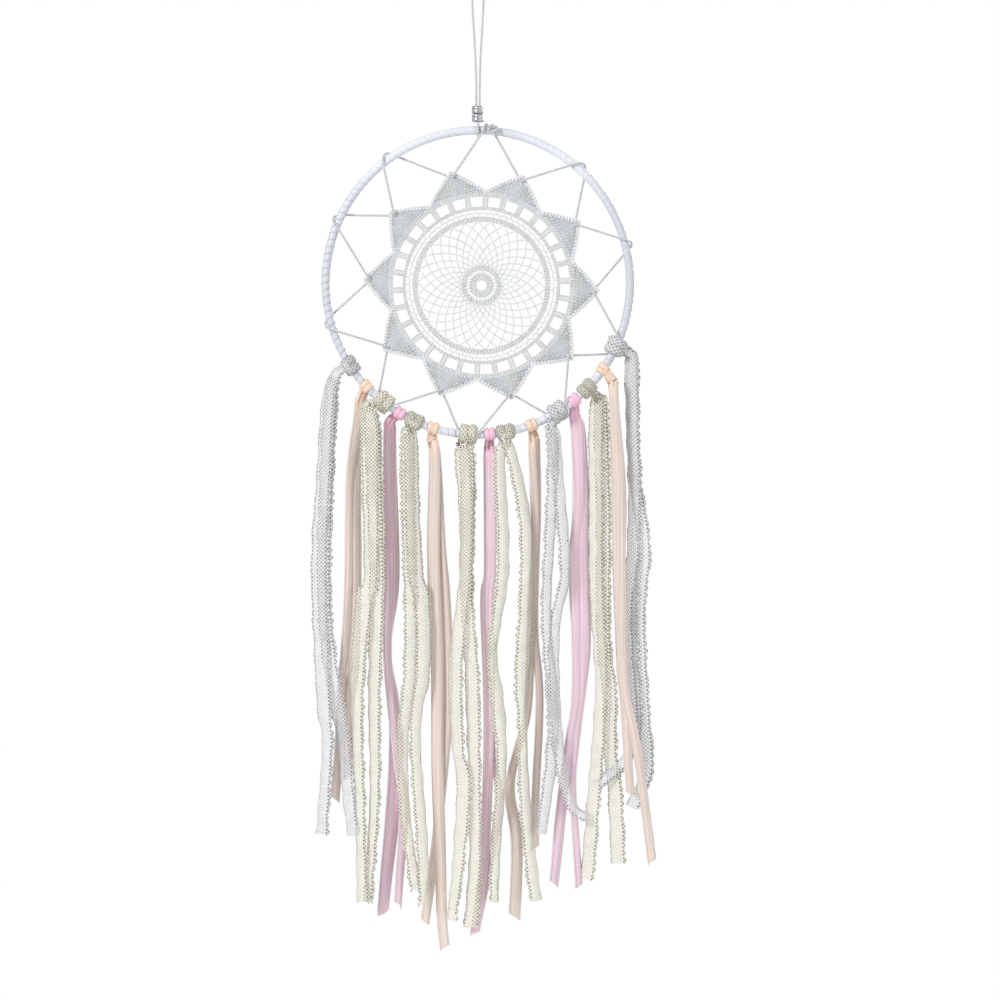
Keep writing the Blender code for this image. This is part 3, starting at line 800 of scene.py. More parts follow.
def bead(name, node):
    low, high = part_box(node)
    height, radius = high.z - low.z, (high.x - low.x) / 2
    bore = 2 * CORD_RADIUS + STRAND_GAP / 2 + 0.0004
    outline = [(0.78, 0.0), (0.86, 0.03), (0.96, 0.12), (1.0, 0.22), (0.99, 0.36), (0.93, 0.46)]
    outline += [(0.93, 0.54)] + [(r, 1 - h) for r, h in reversed(outline[:-1])]
    profile = [(bore, 0.02)] + [(r * radius, h) for r, h in outline] + [(bore, 0.98)]
    turns = np.arange(BEAD_SIDES) * math.tau / BEAD_SIDES
    points = []
    for r, h in profile:
        belly = math.sin(math.pi * h) if r > bore else 0.0
        waved = r * (1 - FLUTE_DEPTH * belly * (0.5 - 0.5 * np.cos(FLUTES * turns)))
        points += [(a * math.cos(t), a * math.sin(t), low.z + h * height) for a, t in zip(waved, turns)]
    faces = []
    for ring in range(len(profile)):
        after = (ring + 1) % len(profile)
        for side in range(BEAD_SIDES):
            beside = (side + 1) % BEAD_SIDES
            ends = [(ring, side), (ring, beside), (after, beside), (after, side)]
            faces.append([r * BEAD_SIDES + s for r, s in ends])
    made = link(name, mesh_of(points, faces))
    made.data.materials.append(metal.material)
    made.data.set_sharp_from_angle(angle=math.radians(50))
    print(f"{name}: {count_triangles(made)} triangles")
    return made


for place in ("lower", "upper"):
    made = bead(f"{place}_fluted_bead", f"bead_{place}")
    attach(made, f"{place}_bead")
    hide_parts(f"bead_{place}")

# %% [markdown]
# ## The crocheted star
#
# A crocheted star is one thread looped into thousands of stitches: a solid centre, a lattice of curved arcs,
# a band with two rows of tiny eyelets, thirty square windows, and ten dense points. Modelled as a flat plate
# with holes it would look like paper. So the lines that the stitches follow are drawn as curves, and a tree
# sets a small V-shaped stitch on every line at the thread's own spacing, turned to lie flat in the star.

# %% One stitch
SEED_SIDES = 4


def seed_points(lean, aside):
    """A plump seed along Z, one long, leaning in the XZ plane: half of a V-shaped stitch."""
    points = [(0, 0, -0.5)]
    for height, reach in ((-0.22, 0.30), (0.22, 0.30)):
        for side in range(SEED_SIDES):
            turn = math.tau * (side + 0.5) / SEED_SIDES
            points.append((reach * math.cos(turn), reach * math.sin(turn), height))
    points.append((0, 0, 0.5))
    cos, sin = math.cos(lean), math.sin(lean)
    return [(x * cos + z * sin + aside, y, z * cos - x * sin) for x, y, z in points]


def seed_faces(first):
    last = first + 1 + 2 * SEED_SIDES
    faces = []
    for side in range(SEED_SIDES):
        a, b = first + 1 + side, first + 1 + (side + 1) % SEED_SIDES
        c, d = a + SEED_SIDES, b + SEED_SIDES
        faces += [(first, b, a), (a, b, d, c), (c, d, last)]
    return faces


def stitch_object():
    points = seed_points(0.42, -0.21) + seed_points(-0.42, 0.21)
    return link("stitch", mesh_of(points, seed_faces(0) + seed_faces(2 + 2 * SEED_SIDES)))


def chain_object():
    """A single leaning seed, for the thin lines."""
    return link("chain_stitch", mesh_of(seed_points(0.24, 0.0), seed_faces(0)))


# %% The crochet tree
def crochet_tree():
    tree = Growth(
        "crochet", stitch="Object", length="Float", thread="Float", uneven="Float", seed="Int",
        finish="Material",
    )
    given = tree.given
    into = {"Curve": given["Geometry"], "Length": given["length"]}
    line = tree.add("GeometryNodeCurveToPoints", into, mode="LENGTH")
    into = {"Vector": line.outputs["Tangent"]}
    along = tree.add("FunctionNodeAlignRotationToVector", into, axis="Z").outputs[0]
    into = {"Rotation": along, "Vector": (0, 1, 0)}
    flat = tree.add("FunctionNodeAlignRotationToVector", into, axis="Y", pivot_axis="Z").outputs[0]
    less = tree.math("SUBTRACT", 1.0, given["uneven"])
    more = tree.math("ADD", 1.0, given["uneven"])
    random = tree.add("FunctionNodeRandomValue", {2: less, 3: more, "Seed": given["seed"]}, data_type="FLOAT")
    longer = tree.math("MULTIPLY", given["length"], 1.35)
    size = tree.scaled(tree.combined(given["thread"], given["thread"], longer), random.outputs[1])
    shape = tree.add("GeometryNodeObjectInfo", {"Object": given["stitch"], "As Instance": True})
    into = {"Points": line.outputs[0], "Instance": shape.outputs["Geometry"], "Rotation": flat, "Scale": size}
    tree.finish(tree.add("GeometryNodeInstanceOnPoints", into).outputs[0])
    return tree


# %% Radii of the star's rounds, from the middle outwards
CENTRE_ROUNDS = (0.0038, 0.0050, 0.0062, 0.0073)
SLOT_POSTS = (0.0078, 0.0098, 26)  # inner radius, outer radius, how many
INNER_BAND = (0.0102, 0.0113, 0.0124)
LATTICE = (0.0128, 0.0411)
LATTICE_ARCS = 30
LATTICE_SPREAD = 48.0  # degrees that one arc leans aside on its way out
MIDDLE_BAND = (0.0413, 0.0424, 0.0435)
EYELET_POSTS = (0.0439, 0.0459, 64)
EYELET_ROUND = (0.0462,)
OUTER_EYELET_POSTS = (0.0465, 0.0485, 64)
WINDOW_SILL = (0.0488, 0.0498)
WINDOWS = 30
WINDOW_EDGE = 0.0568
EDGE_ROUNDS = (0.0572, 0.0583, 0.0593)
VALLEY_RADIUS = 0.0597


def star_line(angles, radii, depth=0.0):
    points = on_circle(DOILY_CENTRE, np.asarray(angles, float), np.asarray(radii, float))
    return points + depth * FRONT


def round_of(radius, depth=0.0):
    steps = max(24, int(radius / 0.0004))
    return star_line(np.arange(steps) * 360 / steps, np.full(steps, radius), depth), True


def posts(inner, outer, count, shift=0.0, apart=0.0):
    """Short radial lines. With apart, each post is three lines side by side, that wide in all."""
    lines = []
    for post in range(count):
        angle = DOILY_TURN + 360 * (post + shift) / count
        for side in (-1, 0, 1) if apart else (0,):
            radii = np.linspace(inner, outer, 4)
            lines.append((star_line(angle + side * np.degrees(apart / 2 / radii), radii), False))
    return lines


def lattice_arcs():
    """Two families of arcs that lean opposite ways. Cells grow from slim petals to wide diamonds."""
    share = np.linspace(0, 1, 24)
    lean = LATTICE_SPREAD * np.log1p(0.625 * share) / math.log(1.625)
    radii = LATTICE[0] + (LATTICE[1] - LATTICE[0]) * share
    lines = []
    for arc in range(LATTICE_ARCS):
        for way in (-1, 1):
            lines.append((star_line(DOILY_TURN + 360 * arc / LATTICE_ARCS + way * lean, radii), False))
    return lines


# %% [markdown]
# The star's points are worked in close rows that get shorter towards the tip, inside a thicker corded edge.
# Between the rows the crochet is nearly closed, so a thin ground lies behind them, with the same stitches in
# relief.


# %% Star points
POINT_SWELL = 0.0009  # how far a point's sides bow outwards
ROW_GAP = 0.00165


def point_side(angle, way, inset=0.0, steps=12):
    """One side of a star point, from its foot to its tip, bowed a little outwards."""
    half = 180 / DOILY_POINTS
    foot = star_line([angle + way * half], [VALLEY_RADIUS])[0]
    tip = star_line([angle], [TIP_RADIUS - 0.0006])[0]
    share = np.linspace(0, 1, steps)[:, None]
    out = star_line([angle + way * 90], [1.0])[0] - DOILY_CENTRE
    bow = np.sin(math.pi * share) * POINT_SWELL
    line = foot + (tip - foot) * share + bow * out
    return line + inset * unit(star_line([angle], [0.063])[0] - (foot + tip) / 2)


def point_rows(angle):
    rows = []
    left, right = point_side(angle, 1, 0.0008, 40), point_side(angle, -1, 0.0008, 40)
    outwards = star_line([angle], [1.0])[0] - DOILY_CENTRE
    heights = (left - DOILY_CENTRE) @ outwards
    for height in np.arange(heights[0] + 0.0006, heights[-1] - 0.0010, ROW_GAP):
        step = int(np.argmin(np.abs(heights - height)))
        first = 0.02 if len(rows) % 2 else 0.02 + 0.0009 / np.linalg.norm(right[step] - left[step])
        share = np.linspace(first, 0.98, 5)[:, None]
        rows.append((left[step] + (right[step] - left[step]) * share, False))
    return rows


def ground_mesh(angle):
    """The thin closed ground behind one star point's rows. It lies low, so the crest ramp gives it a painted
    shade.
    """
    left, right = point_side(angle, 1, 0.0003), point_side(angle, -1, 0.0003)
    points = []
    for a, b in zip(left, right):
        middle = (a + b) / 2
        for depth, edge in ((0.00010, a), (0.00016, middle), (0.00010, b)):
            points += [edge + depth * FRONT, edge - depth * FRONT]
    faces = []
    for row in range(len(left) - 1):
        low, high = 6 * row, 6 * row + 6
        faces += [(low, low + 2, high + 2, high), (low + 2, low + 4, high + 4, high + 2)]
        faces += [(low + 1, high + 1, high + 3, low + 3), (low + 3, high + 3, high + 5, low + 5)]
        faces += [(low, high, high + 1, low + 1), (low + 4, low + 5, high + 5, high + 4)]
    last = 6 * (len(left) - 1)
    faces += [(0, 1, 3, 2), (2, 3, 5, 4)]
    faces += [(last, last + 2, last + 3, last + 1), (last + 2, last + 4, last + 5, last + 3)]
    mesh = mesh_of(points, faces)
    mesh.materials.append(crochet_cotton)
    return mesh


# %% Crochet the star
def crest_of_stitch(finish):
    """The star lies in the plane y = 0, so a point's distance from it is its height in the crochet."""
    return finish.math("ABSOLUTE", finish.add("ShaderNodeSeparateXYZ", {0: finish.place}).outputs[1])


# Painted shade: the sides of each stitch and the low ground between the rows are darkened by the crest ramp.
crochet_cotton = cotton_finish(
    "crochet_cotton_finish", (0.86, 0.88, 0.90), grain=3800.0, crest=crest_of_stitch, low=0.00012,
    high=0.00036, dark=0.62,
)
crochet = crochet_tree()
stitch = stitch_object()
chain = chain_object()


def crocheted(lines, length, thread, shape):
    line = link("crochet_lines", poly_curve(lines))
    mesh = crochet.grow(
        line, stitch=shape, length=length, thread=thread, uneven=0.12, seed=7, finish=crochet_cotton
    )
    bpy.data.objects.remove(line)
    return mesh


EDGE_THREAD = 0.00250


def outline_area():
    """Square metres inside the star's outline, out to the rim of its corded edge."""
    reach = EDGE_THREAD * max(abs(point.co.x) for point in stitch.data.vertices)
    outline = []
    for angle in tip_angles():
        outline += [*point_side(angle, 1, -reach), *point_side(angle, -1, -reach)[::-1]]
    x, _, z = np.array(outline).T
    return abs(float(x @ np.roll(z, -1) - z @ np.roll(x, -1))) / 2


def star_meshes():
    rounds = [round_of(r) for r in (*CENTRE_ROUNDS, *INNER_BAND, *MIDDLE_BAND, *WINDOW_SILL, *EDGE_ROUNDS)]
    fine = [round_of(r) for r in EYELET_ROUND] + lattice_arcs()
    short = posts(*SLOT_POSTS) + posts(*EYELET_POSTS) + posts(*OUTER_EYELET_POSTS, shift=0.5)
    bars = posts(WINDOW_SILL[-1], WINDOW_EDGE, WINDOWS, shift=0.5, apart=0.0026)
    rows, edges = [], []
    for angle in tip_angles():
        rows += point_rows(angle)
        for way in (-1, 1):
            edges.append((point_side(angle, way), False))
    return [
        crocheted(rounds, 0.0020, 0.00140, stitch),
        crocheted(fine, 0.0014, 0.00195, chain),
        crocheted(short, 0.0008, 0.00190, chain),
        crocheted(bars, 0.0014, 0.00115, stitch),
        crocheted(rows, 0.0020, 0.00125, stitch),
        crocheted(edges, 0.0021, EDGE_THREAD, stitch),
        *[ground_mesh(angle) for angle in tip_angles()],
    ]


star_area = outline_area()
star = joined("crochet_star", star_meshes())
bpy.data.objects.remove(stitch)
bpy.data.objects.remove(chain)
print("crochet_star:", count_triangles(star), "triangles, area", round(star_area, 5))
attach(star, "hoop")
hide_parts("doily")

# %% [markdown]
# ## The courses of the streamers
#
# Fifteen strips are doubled over the hoop, so each has two tails. Tied ribbon keeps the bends it had on its
# reel: it drifts, turns partly edge-on and comes back. A simulation would hang every tail straight down. So
# each tail's course is laid out as a few stations below its knot: how far down, how far aside, and
# how much of the width shows from the front.

# %% Stations of each tail, in millimetres: down, aside, width shown
COURSES = {
    "white_lace_1": (
        [(25, -15, 9), (75, -18, 10), (130, -20, 11), (210, -18, 10), (245, -15, 7), (300, -19, 8)],
        [(25, -13, 10), (75, -16, 10), (170, -16, 10), (240, -5, 9), (300, 1, 8)],
    ),
    "peach_ribbon_1": (
        [(20, -4, 9), (60, -9, 6), (160, -12, 6), (185, -14, 4), (265, -20, 6)],
        [(20, -4, 9), (60, -6, 7), (170, -7, 7), (200, -10, 7), (250, -12, 6)],
    ),
    "cream_lace_1": (
        [(20, -9, 13), (110, -9, 10), (130, -13, 12), (205, -18, 8), (270, -15, 6), (320, -14, 8)],
        [(20, -7, 12), (130, -5, 10), (205, -7, 8), (270, -7, 6), (320, -11, 5)],
    ),
    "pink_ribbon_1": (
        [(20, -6, 8), (105, -6, 8), (150, -7, 5), (220, -1, 5), (255, 3, 6), (315, 0, 4)],
        [(20, -6, 8), (105, -5, 9), (150, -7, 4), (185, -3, 7), (230, -3, 10), (320, -10, 7)],
    ),
    "cream_lace_2": (
        [(15, -4, 10), (95, -2, 10), (160, -2, 9), (205, -6, 7), (255, -5, 6), (300, 2, 6)],
        [(15, -2, 10), (95, 1, 11), (115, 5, 11), (160, 6, 10), (205, 2, 7), (310, 8, 8)],
    ),
    "peach_ribbon_2": (
        [(15, 0, 7), (75, 0, 8), (170, 2, 8), (295, 4, 7), (333, 7, 6)],
        [(15, 0, 7), (75, 4, 8), (110, 7, 7), (175, 8, 7), (220, 6, 6), (315, -6, 5)],
    ),
    "cream_lace_3": (
        [(15, -4, 11), (85, -2, 8), (150, -9, 10), (200, -7, 8), (230, -3, 10), (310, -12, 6)],
        [(15, -1, 11), (105, -1, 9), (165, 2, 10), (245, 4, 8), (315, 1, 10)],
    ),
    "pink_ribbon_2": (
        [(15, 0, 9), (85, 0, 8), (110, -2, 9), (200, -1, 7), (270, -5, 6), (320, -10, 6)],
        [(15, 0, 8), (85, 0, 8), (110, -2, 8), (200, 1, 4), (235, 5, 3), (315, -9, 5)],
    ),
    "cream_lace_4": (
        [(20, -3, 7), (90, -1, 8), (140, -7, 5), (170, -5, 9), (215, -2, 6), (300, -7, 5)],
        [(15, 5, 7), (60, 13, 8), (110, 14, 10), (155, 11, 10), (190, 11, 4), (230, 13, 7), (300, 20, 8)],
    ),
    "peach_ribbon_3": (
        [(15, 2, 8), (75, 3, 6), (175, -2, 5), (205, -8, 4), (235, -13, 7), (265, -9, 8), (315, -11, 8)],
        [(15, 2, 8), (75, 3, 6), (135, 3, 5), (175, 5, 4), (270, 3, 5)],
    ),
    "white_lace_2": (
        [(15, -3, 8), (40, -2, 8), (115, -7, 6), (175, -3, 8), (210, -3, 8), (270, -10, 7)],
        [(15, -1, 8), (85, 4, 7), (110, 4, 6), (140, -1, 7), (210, 0, 8), (250, 9, 6), (258, 19, 5)],
    ),
    "pink_ribbon_3": (
        [(20, 2, 9), (75, 3, 8), (105, 1, 8), (185, 2, 7), (220, -2, 6), (265, -8, 7), (310, -13, 6)],
        [(20, 3, 9), (75, 6, 8), (150, 7, 8), (185, 5, 6), (220, 2, 4), (250, 0, 3), (310, 3, 4)],
    ),
    "cream_lace_5": (
        [(15, 6, 10), (100, 5, 10), (165, 8, 9), (195, 8, 8), (290, 2, 9), (315, -1, 9)],
        [
            (15, 9, 10), (100, 10, 10), (165, 11, 10), (195, 14, 10), (230, 14, 9), (260, 18, 10),
            (305, 20, 10),
        ],
    ),
    "peach_ribbon_4": (
        [(15, 6, 6), (85, 9, 9), (180, 11, 7), (210, 13, 6), (240, 20, 6), (270, 25, 5), (315, 30, 5)],
        [(15, 6, 6), (85, 10, 7), (180, 10, 6), (210, 12, 6), (270, 17, 4)],
    ),
    "white_lace_3": (
        [(15, 9, 9), (85, 11, 8), (170, 9, 9), (230, 12, 7), (250, 11, 6), (265, 4, 6), (280, -13, 6)],
        [(20, 10, 9), (85, 12, 8), (130, 17, 9), (170, 14, 10), (240, 17, 9), (270, 19, 8), (295, 10, 8)],
    ),
}


def knot_angle(name):
    """Where a knot sits on the hoop, in degrees, from its own box."""
    low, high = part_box(f"{name}_knot")
    east = (low.x + high.x) / 2 - HOOP_CENTRE[0]
    up = (low.z + high.z) / 2 - HOOP_CENTRE[2]
    return math.degrees(math.atan2(up, east))


print("tails laid out:", sum(len(tails) for tails in COURSES.values()))

# %% Lace finish
NET_PITCH = 0.0024
NET_HOLE = 0.58  # a hole's share of its cell


def crest_of_net(finish):
    """0 in the middle of a hole of the net, 0.5 on the crest of its threads."""
    x, y, _ = finish.add("ShaderNodeSeparateXYZ", {0: finish.place}).outputs
    steps = []
    for value in (x, y):
        cells = finish.math("MULTIPLY", value, 1 / NET_PITCH)
        steps.append(finish.math("ABSOLUTE", finish.math("SUBTRACT", cells, finish.math("ROUND", cells))))
    apart = finish.math("ADD", *steps)
    return finish.math("MINIMUM", apart, finish.math("SUBTRACT", 1.0, apart))


def lace_finish(name, colour):
    # Painted shade: the crest ramp darkens the colour round every hole of the net.
    return cotton_finish(
        name, colour, grain=3000.0, crest=crest_of_net, low=0.27, high=0.44, dark=0.34, uv="cloth"
    )


# %% [markdown]
# ## Strips of cloth
#
# A strip is narrowed in two ways: it turns about its own length, and its edges curl back. The width that
# shows is the width after both, so for each station the turn and the curl are worked out from it. Near the
# knot the strip is gathered into pleats. Satin keeps this strip, with real thickness. Its cut ends slant.

# %% Sizes and cloths
SATIN_WIDTH = 0.010
LACE_WIDTH = 0.0130
ROW_SPACING = 0.0022
COLUMNS = 10
LAYER_DEPTH = 0.0042  # from the hoop's middle to the middle of a layer of tails
TAIL_APART = 0.0011
GATHERED = 0.55  # the share of the width that is left inside a knot
GATHER_LENGTH = 0.014
OPENED = 0.03  # down from the knot a strip has opened after this length
SWELL_DEPTH = 0.0008
SWELL_LENGTH = 0.021
PLEAT_DEPTH = 0.0011
CREASE_DEPTH = 0.00022
CREASE_LENGTH = 0.017
STREAMER_FINISHES = {
    "peach_ribbon": satin_finish("peach_satin_finish", (0.80, 0.68, 0.61), (0.956, 0.72, 0.57)),
    "pink_ribbon": satin_finish("pink_satin_finish", (0.86, 0.655, 0.755), (0.97, 0.58, 0.74)),
    "cream_lace": lace_finish("cream_lace_finish", (0.95, 0.935, 0.79)),
    "white_lace": lace_finish("white_lace_finish", (0.90, 0.91, 0.93)),
}


def curl_of(share):
    """The half angle of the arc whose chord is that share of its length."""
    low, high = 0.001, 3.0
    for _ in range(30):
        middle = (low + high) / 2
        low, high = (middle, high) if math.sin(middle) / middle > share else (low, middle)
    return low


def strip_course(knot, pivot, stations, depth):
    """Points down a tail, with the width shown as a fourth number."""
    front = math.copysign(1.0, depth)
    start = knot + 0.25 * (pivot - knot) * (1, 0, 1)
    course = [(start[0], front * 0.0031, start[2], 0.0058)]
    course.append((pivot[0], front * 0.0036, pivot[2], 0.0070))
    for down, aside, shown in stations:
        if -0.001 * down < pivot[2] - knot[2] - 0.003:
            course.append((knot[0] + 0.001 * aside, depth, knot[2] - 0.001 * down, 0.001 * shown))
    return smooth_line(course, ROW_SPACING)


def strip_mesh(course, width, number, slant, ruffle):
    """The strip as a grid, with its cloth coordinates in metres."""
    line, shown = course[:, :3], course[:, 3] / width
    steps = np.linalg.norm(np.diff(line, axis=0), axis=1)
    along = np.concatenate([[0], np.cumsum(steps)])
    length = along[-1]
    tangents = np.gradient(line, axis=0)
    across = np.linspace(-0.5, 0.5, COLUMNS)
    points, uv = [], []
    wave = SWELL_DEPTH * np.sin(along / SWELL_LENGTH + 1.7 * number) * np.clip(along / OPENED, 0, 1)
    for i in range(len(line)):
        tangent = unit(tangents[i])
        side = unit(np.cross(tangent, -FRONT))
        normal = np.cross(tangent, side)
        gather = GATHERED + (1 - GATHERED) * min(1.0, along[i] / GATHER_LENGTH)
        visible = np.clip(shown[i] / gather, 0.06, 0.97)
        turn = math.acos(visible**0.55) * (-1 if number % 2 else 1)
        curl = curl_of(visible**0.45)
        radius = gather * width / (2 * curl)
        theta = 2 * curl * across
        a, b = radius * np.sin(theta), radius * (np.cos(theta) - np.cos(curl / 1.6))
        pleat = (1 - gather) / (1 - GATHERED)
        b = b + PLEAT_DEPTH * pleat * np.cos(across * 17 + number) + wave[i]
        b = b + CREASE_DEPTH * np.sin(across * 9 + 0.9 * np.sin(along[i] / CREASE_LENGTH) + number)
        edge = (2 * across) ** 2 * min(1.0, along[i] / OPENED)
        b = b + ruffle * edge * np.sin(along[i] / 0.0031 + 2.1 * np.sign(across) + number)
        a = a * (1 + 0.05 * edge * np.sin(along[i] / 0.0047 + np.sign(across) + 2 * number) * (ruffle > 0))
        east = a * math.cos(turn) - b * math.sin(turn)
        out = a * math.sin(turn) + b * math.cos(turn)
        shift = slant * width * across * min(1.0, along[i] / length) ** 3
        for k in range(COLUMNS):
            points.append(line[i] + east[k] * side + out[k] * normal + shift[k] * tangent)
            uv.append((across[k] * width, along[i] + shift[k]))
    faces = []
    for i in range(len(line) - 1):
        for k in range(COLUMNS - 1):
            corner = i * COLUMNS + k
            faces.append((corner, corner + COLUMNS, corner + COLUMNS + 1, corner + 1))
    return mesh_of(points, faces, uv), length


# %% [markdown]
# ## Lace
#
# Lace is holes held together by thread. Here it is a diagonal net between two edges of small scallops. The
# tree first lays the lace out flat: one diamond-shaped cell on every point of two staggered grids, and a
# scallop along each edge. Then it reads, for every point of the flat lace, where that point of the cloth lies
# on the hanging strip, and moves it there. The threads' crests stand out of the strip.

# %% One cell of net and one scallop
CREST = 0.00013
SCALLOP_PITCH = 0.0045
SCALLOP_REACH = 0.0016


def net_cell():
    outer = [(0.5, 0), (0, 0.5), (-0.5, 0), (0, -0.5)]
    points = [(x * NET_PITCH, y * NET_PITCH, CREST) for x, y in outer]
    points += [(x * NET_PITCH * NET_HOLE, y * NET_PITCH * NET_HOLE, 0) for x, y in outer]
    faces = [(i, (i + 1) % 4, 4 + (i + 1) % 4, 4 + i) for i in range(4)]
    return link("net_cell", mesh_of(points, faces))


def scallop():
    """A heading, an arc and two spokes. It bulges towards +X."""
    half = SCALLOP_PITCH / 2
    points = [(-0.0006, -half, 0), (0.0002, -half, CREST), (0.0002, half, CREST), (-0.0006, half, 0)]
    faces = [(0, 1, 2, 3)]
    for step in range(9):
        turn = math.pi * (step / 8 - 0.5)
        for share, height in ((0.62, 0.0), (0.82, 1.4 * CREST), (1.0, 0.0)):
            points.append((share * SCALLOP_REACH * math.cos(turn), share * half * math.sin(turn), height))
    for step in range(8):
        for ring in range(2):
            low = 4 + 3 * step + ring
            faces.append((low, low + 1, low + 4, low + 3))
    for turn in (-0.6, 0.0, 0.6):
        first = len(points)
        for reach in (0.0, 0.70):
            for side in (-0.00022, 0.00022):
                x, y = reach * SCALLOP_REACH * math.cos(turn), reach * half * math.sin(turn)
                points.append((x - side * math.sin(turn), y + side * math.cos(turn), 0.5 * CREST))
        faces.append((first, first + 2, first + 3, first + 1))
    return link("scallop", mesh_of(points, faces))


# %% The lace tree
def lace_tree():
    tree = Growth(
        "lace", cell="Object", scallop="Object", pitch="Float", rows="Int", columns="Int", edge="Float",
        scallop_pitch="Float", scallops="Int", finish="Material",
    )
    given = tree.given
    position = tree.add("GeometryNodeInputPosition").outputs[0]
    shapes = []
    for label in ("cell", "scallop"):
        into = {"Object": given[label], "As Instance": True}
        shapes.append(tree.add("GeometryNodeObjectInfo", into).outputs["Geometry"])
    cell, arc = shapes
    pieces = []
    for fewer in (0, 1):
        columns = tree.math("SUBTRACT", given["columns"], fewer)
        rows = tree.math("SUBTRACT", given["rows"], fewer)
        width = tree.math("MULTIPLY", tree.math("SUBTRACT", columns, 1.0), given["pitch"])
        height = tree.math("MULTIPLY", tree.math("SUBTRACT", rows, 1.0), given["pitch"])
        into = {"Size X": width, "Size Y": height, "Vertices X": columns, "Vertices Y": rows}
        grid = tree.add("GeometryNodeMeshGrid", into).outputs[0]
        full = tree.math("MULTIPLY", tree.math("SUBTRACT", given["rows"], 1.0), given["pitch"])
        middle = tree.combined(0.0, tree.math("MULTIPLY", full, 0.5), 0.0)
        grid = tree.add("GeometryNodeSetPosition", {"Geometry": grid, "Offset": middle}).outputs[0]
        into = {"Points": grid, "Instance": cell}
        pieces.append(tree.add("GeometryNodeInstanceOnPoints", into).outputs[0])
    for way in (-1, 1):
        start = tree.combined(tree.math("MULTIPLY", given["edge"], way), 0.0, 0.0)
        into = {"Count": given["scallops"], "Start Location": start}
        into["Offset"] = tree.combined(0.0, given["scallop_pitch"], 0.0)
        line = tree.add("GeometryNodeMeshLine", into, mode="OFFSET").outputs[0]
        into = {"Points": line, "Instance": arc, "Rotation": (0, 0, 0 if way > 0 else math.pi)}
        pieces.append(tree.add("GeometryNodeInstanceOnPoints", into).outputs[0])
    together = tree.add("GeometryNodeJoinGeometry")
    for piece in pieces:
        tree.group.links.new(piece, together.inputs[0])
    real = tree.add("GeometryNodeRealizeInstances", {0: together.outputs[0]}).outputs[0]
    merged = tree.add("GeometryNodeMergeByDistance", {"Geometry": real, "Distance": 0.00003}).outputs[0]
    x, y, relief = tree.parts(position)
    cloth = tree.combined(x, y, 0.0)
    into = {"Geometry": merged, "Name": "cloth", "Value": cloth}
    mapped = tree.add("GeometryNodeStoreNamedAttribute", into, data_type="FLOAT2", domain="CORNER").outputs[0]
    named = tree.add("GeometryNodeInputNamedAttribute", {"Name": "cloth"}, data_type="FLOAT_VECTOR")
    strip_uv = named.outputs[0]
    sampled = []
    for value in (position, tree.add("GeometryNodeInputNormal").outputs[0]):
        into = {"Mesh": given["Geometry"], "Value": value, "UV Map": strip_uv, "Sample UV": cloth}
        sampled.append(tree.add("GeometryNodeSampleUVSurface", into, data_type="FLOAT_VECTOR"))
    outside = tree.add("FunctionNodeBooleanMath", {0: sampled[0].outputs[1]}, operation="NOT").outputs[0]
    raised = tree.scaled(sampled[1].outputs[0], relief)
    place = tree.vector("ADD", sampled[0].outputs[0], raised)
    kept = tree.add("GeometryNodeCaptureAttribute", {"Geometry": mapped})
    kept.capture_items.new("VECTOR", "place")
    kept.capture_items.new("BOOLEAN", "outside")
    tree.group.links.new(place, kept.inputs[1])
    tree.group.links.new(outside, kept.inputs[2])
    moved = tree.add(
        "GeometryNodeSetPosition", {"Geometry": kept.outputs[0], "Position": kept.outputs[1]}
    ).outputs[0]
    cut = tree.add("GeometryNodeDeleteGeometry", {"Geometry": moved, "Selection": kept.outputs[2]}).outputs[0]
    tree.finish(cut)
    return tree


lace = lace_tree()
cell_object = net_cell()
scallop_object = scallop()


def lace_mesh(strip, length, finish):
    body = link("strip", strip)
    edge = LACE_WIDTH / 2 - SCALLOP_REACH - 0.0001
    made = lace.grow(
        body, cell=cell_object, scallop=scallop_object, pitch=NET_PITCH, rows=int(length / NET_PITCH) + 1,
        columns=int(2 * edge / NET_PITCH) + 1, edge=edge, scallop_pitch=SCALLOP_PITCH,
        scallops=int(length / SCALLOP_PITCH) + 1, finish=finish,
    )
    bpy.data.objects.remove(body)
    return made


# %% Thickness
CLOTH_THICKNESS = 0.00010


def thickened(mesh):
    """The same cloth with two sides and a cut edge."""
    body = link("thin_cloth", mesh)
    thickness = body.modifiers.new("cloth_thickness", "SOLIDIFY")
    thickness.thickness = CLOTH_THICKNESS
    thickness.offset = 0
    bpy.context.view_layer.update()
    solid = bpy.data.meshes.new_from_object(body.evaluated_get(bpy.context.evaluated_depsgraph_get()))
    bpy.data.objects.remove(body)
    return solid


# %% [markdown]
# ## Knots
#
# Each strip is hitched to the hoop by its own bight: two bands go round the tube, and a bar joins them where
# the bight closes over the tails. Cloth that is pulled through like this gathers into lengthwise pleats. So
# bands and bar are thick soft rolls whose outline has a few lobes that wander along the roll.


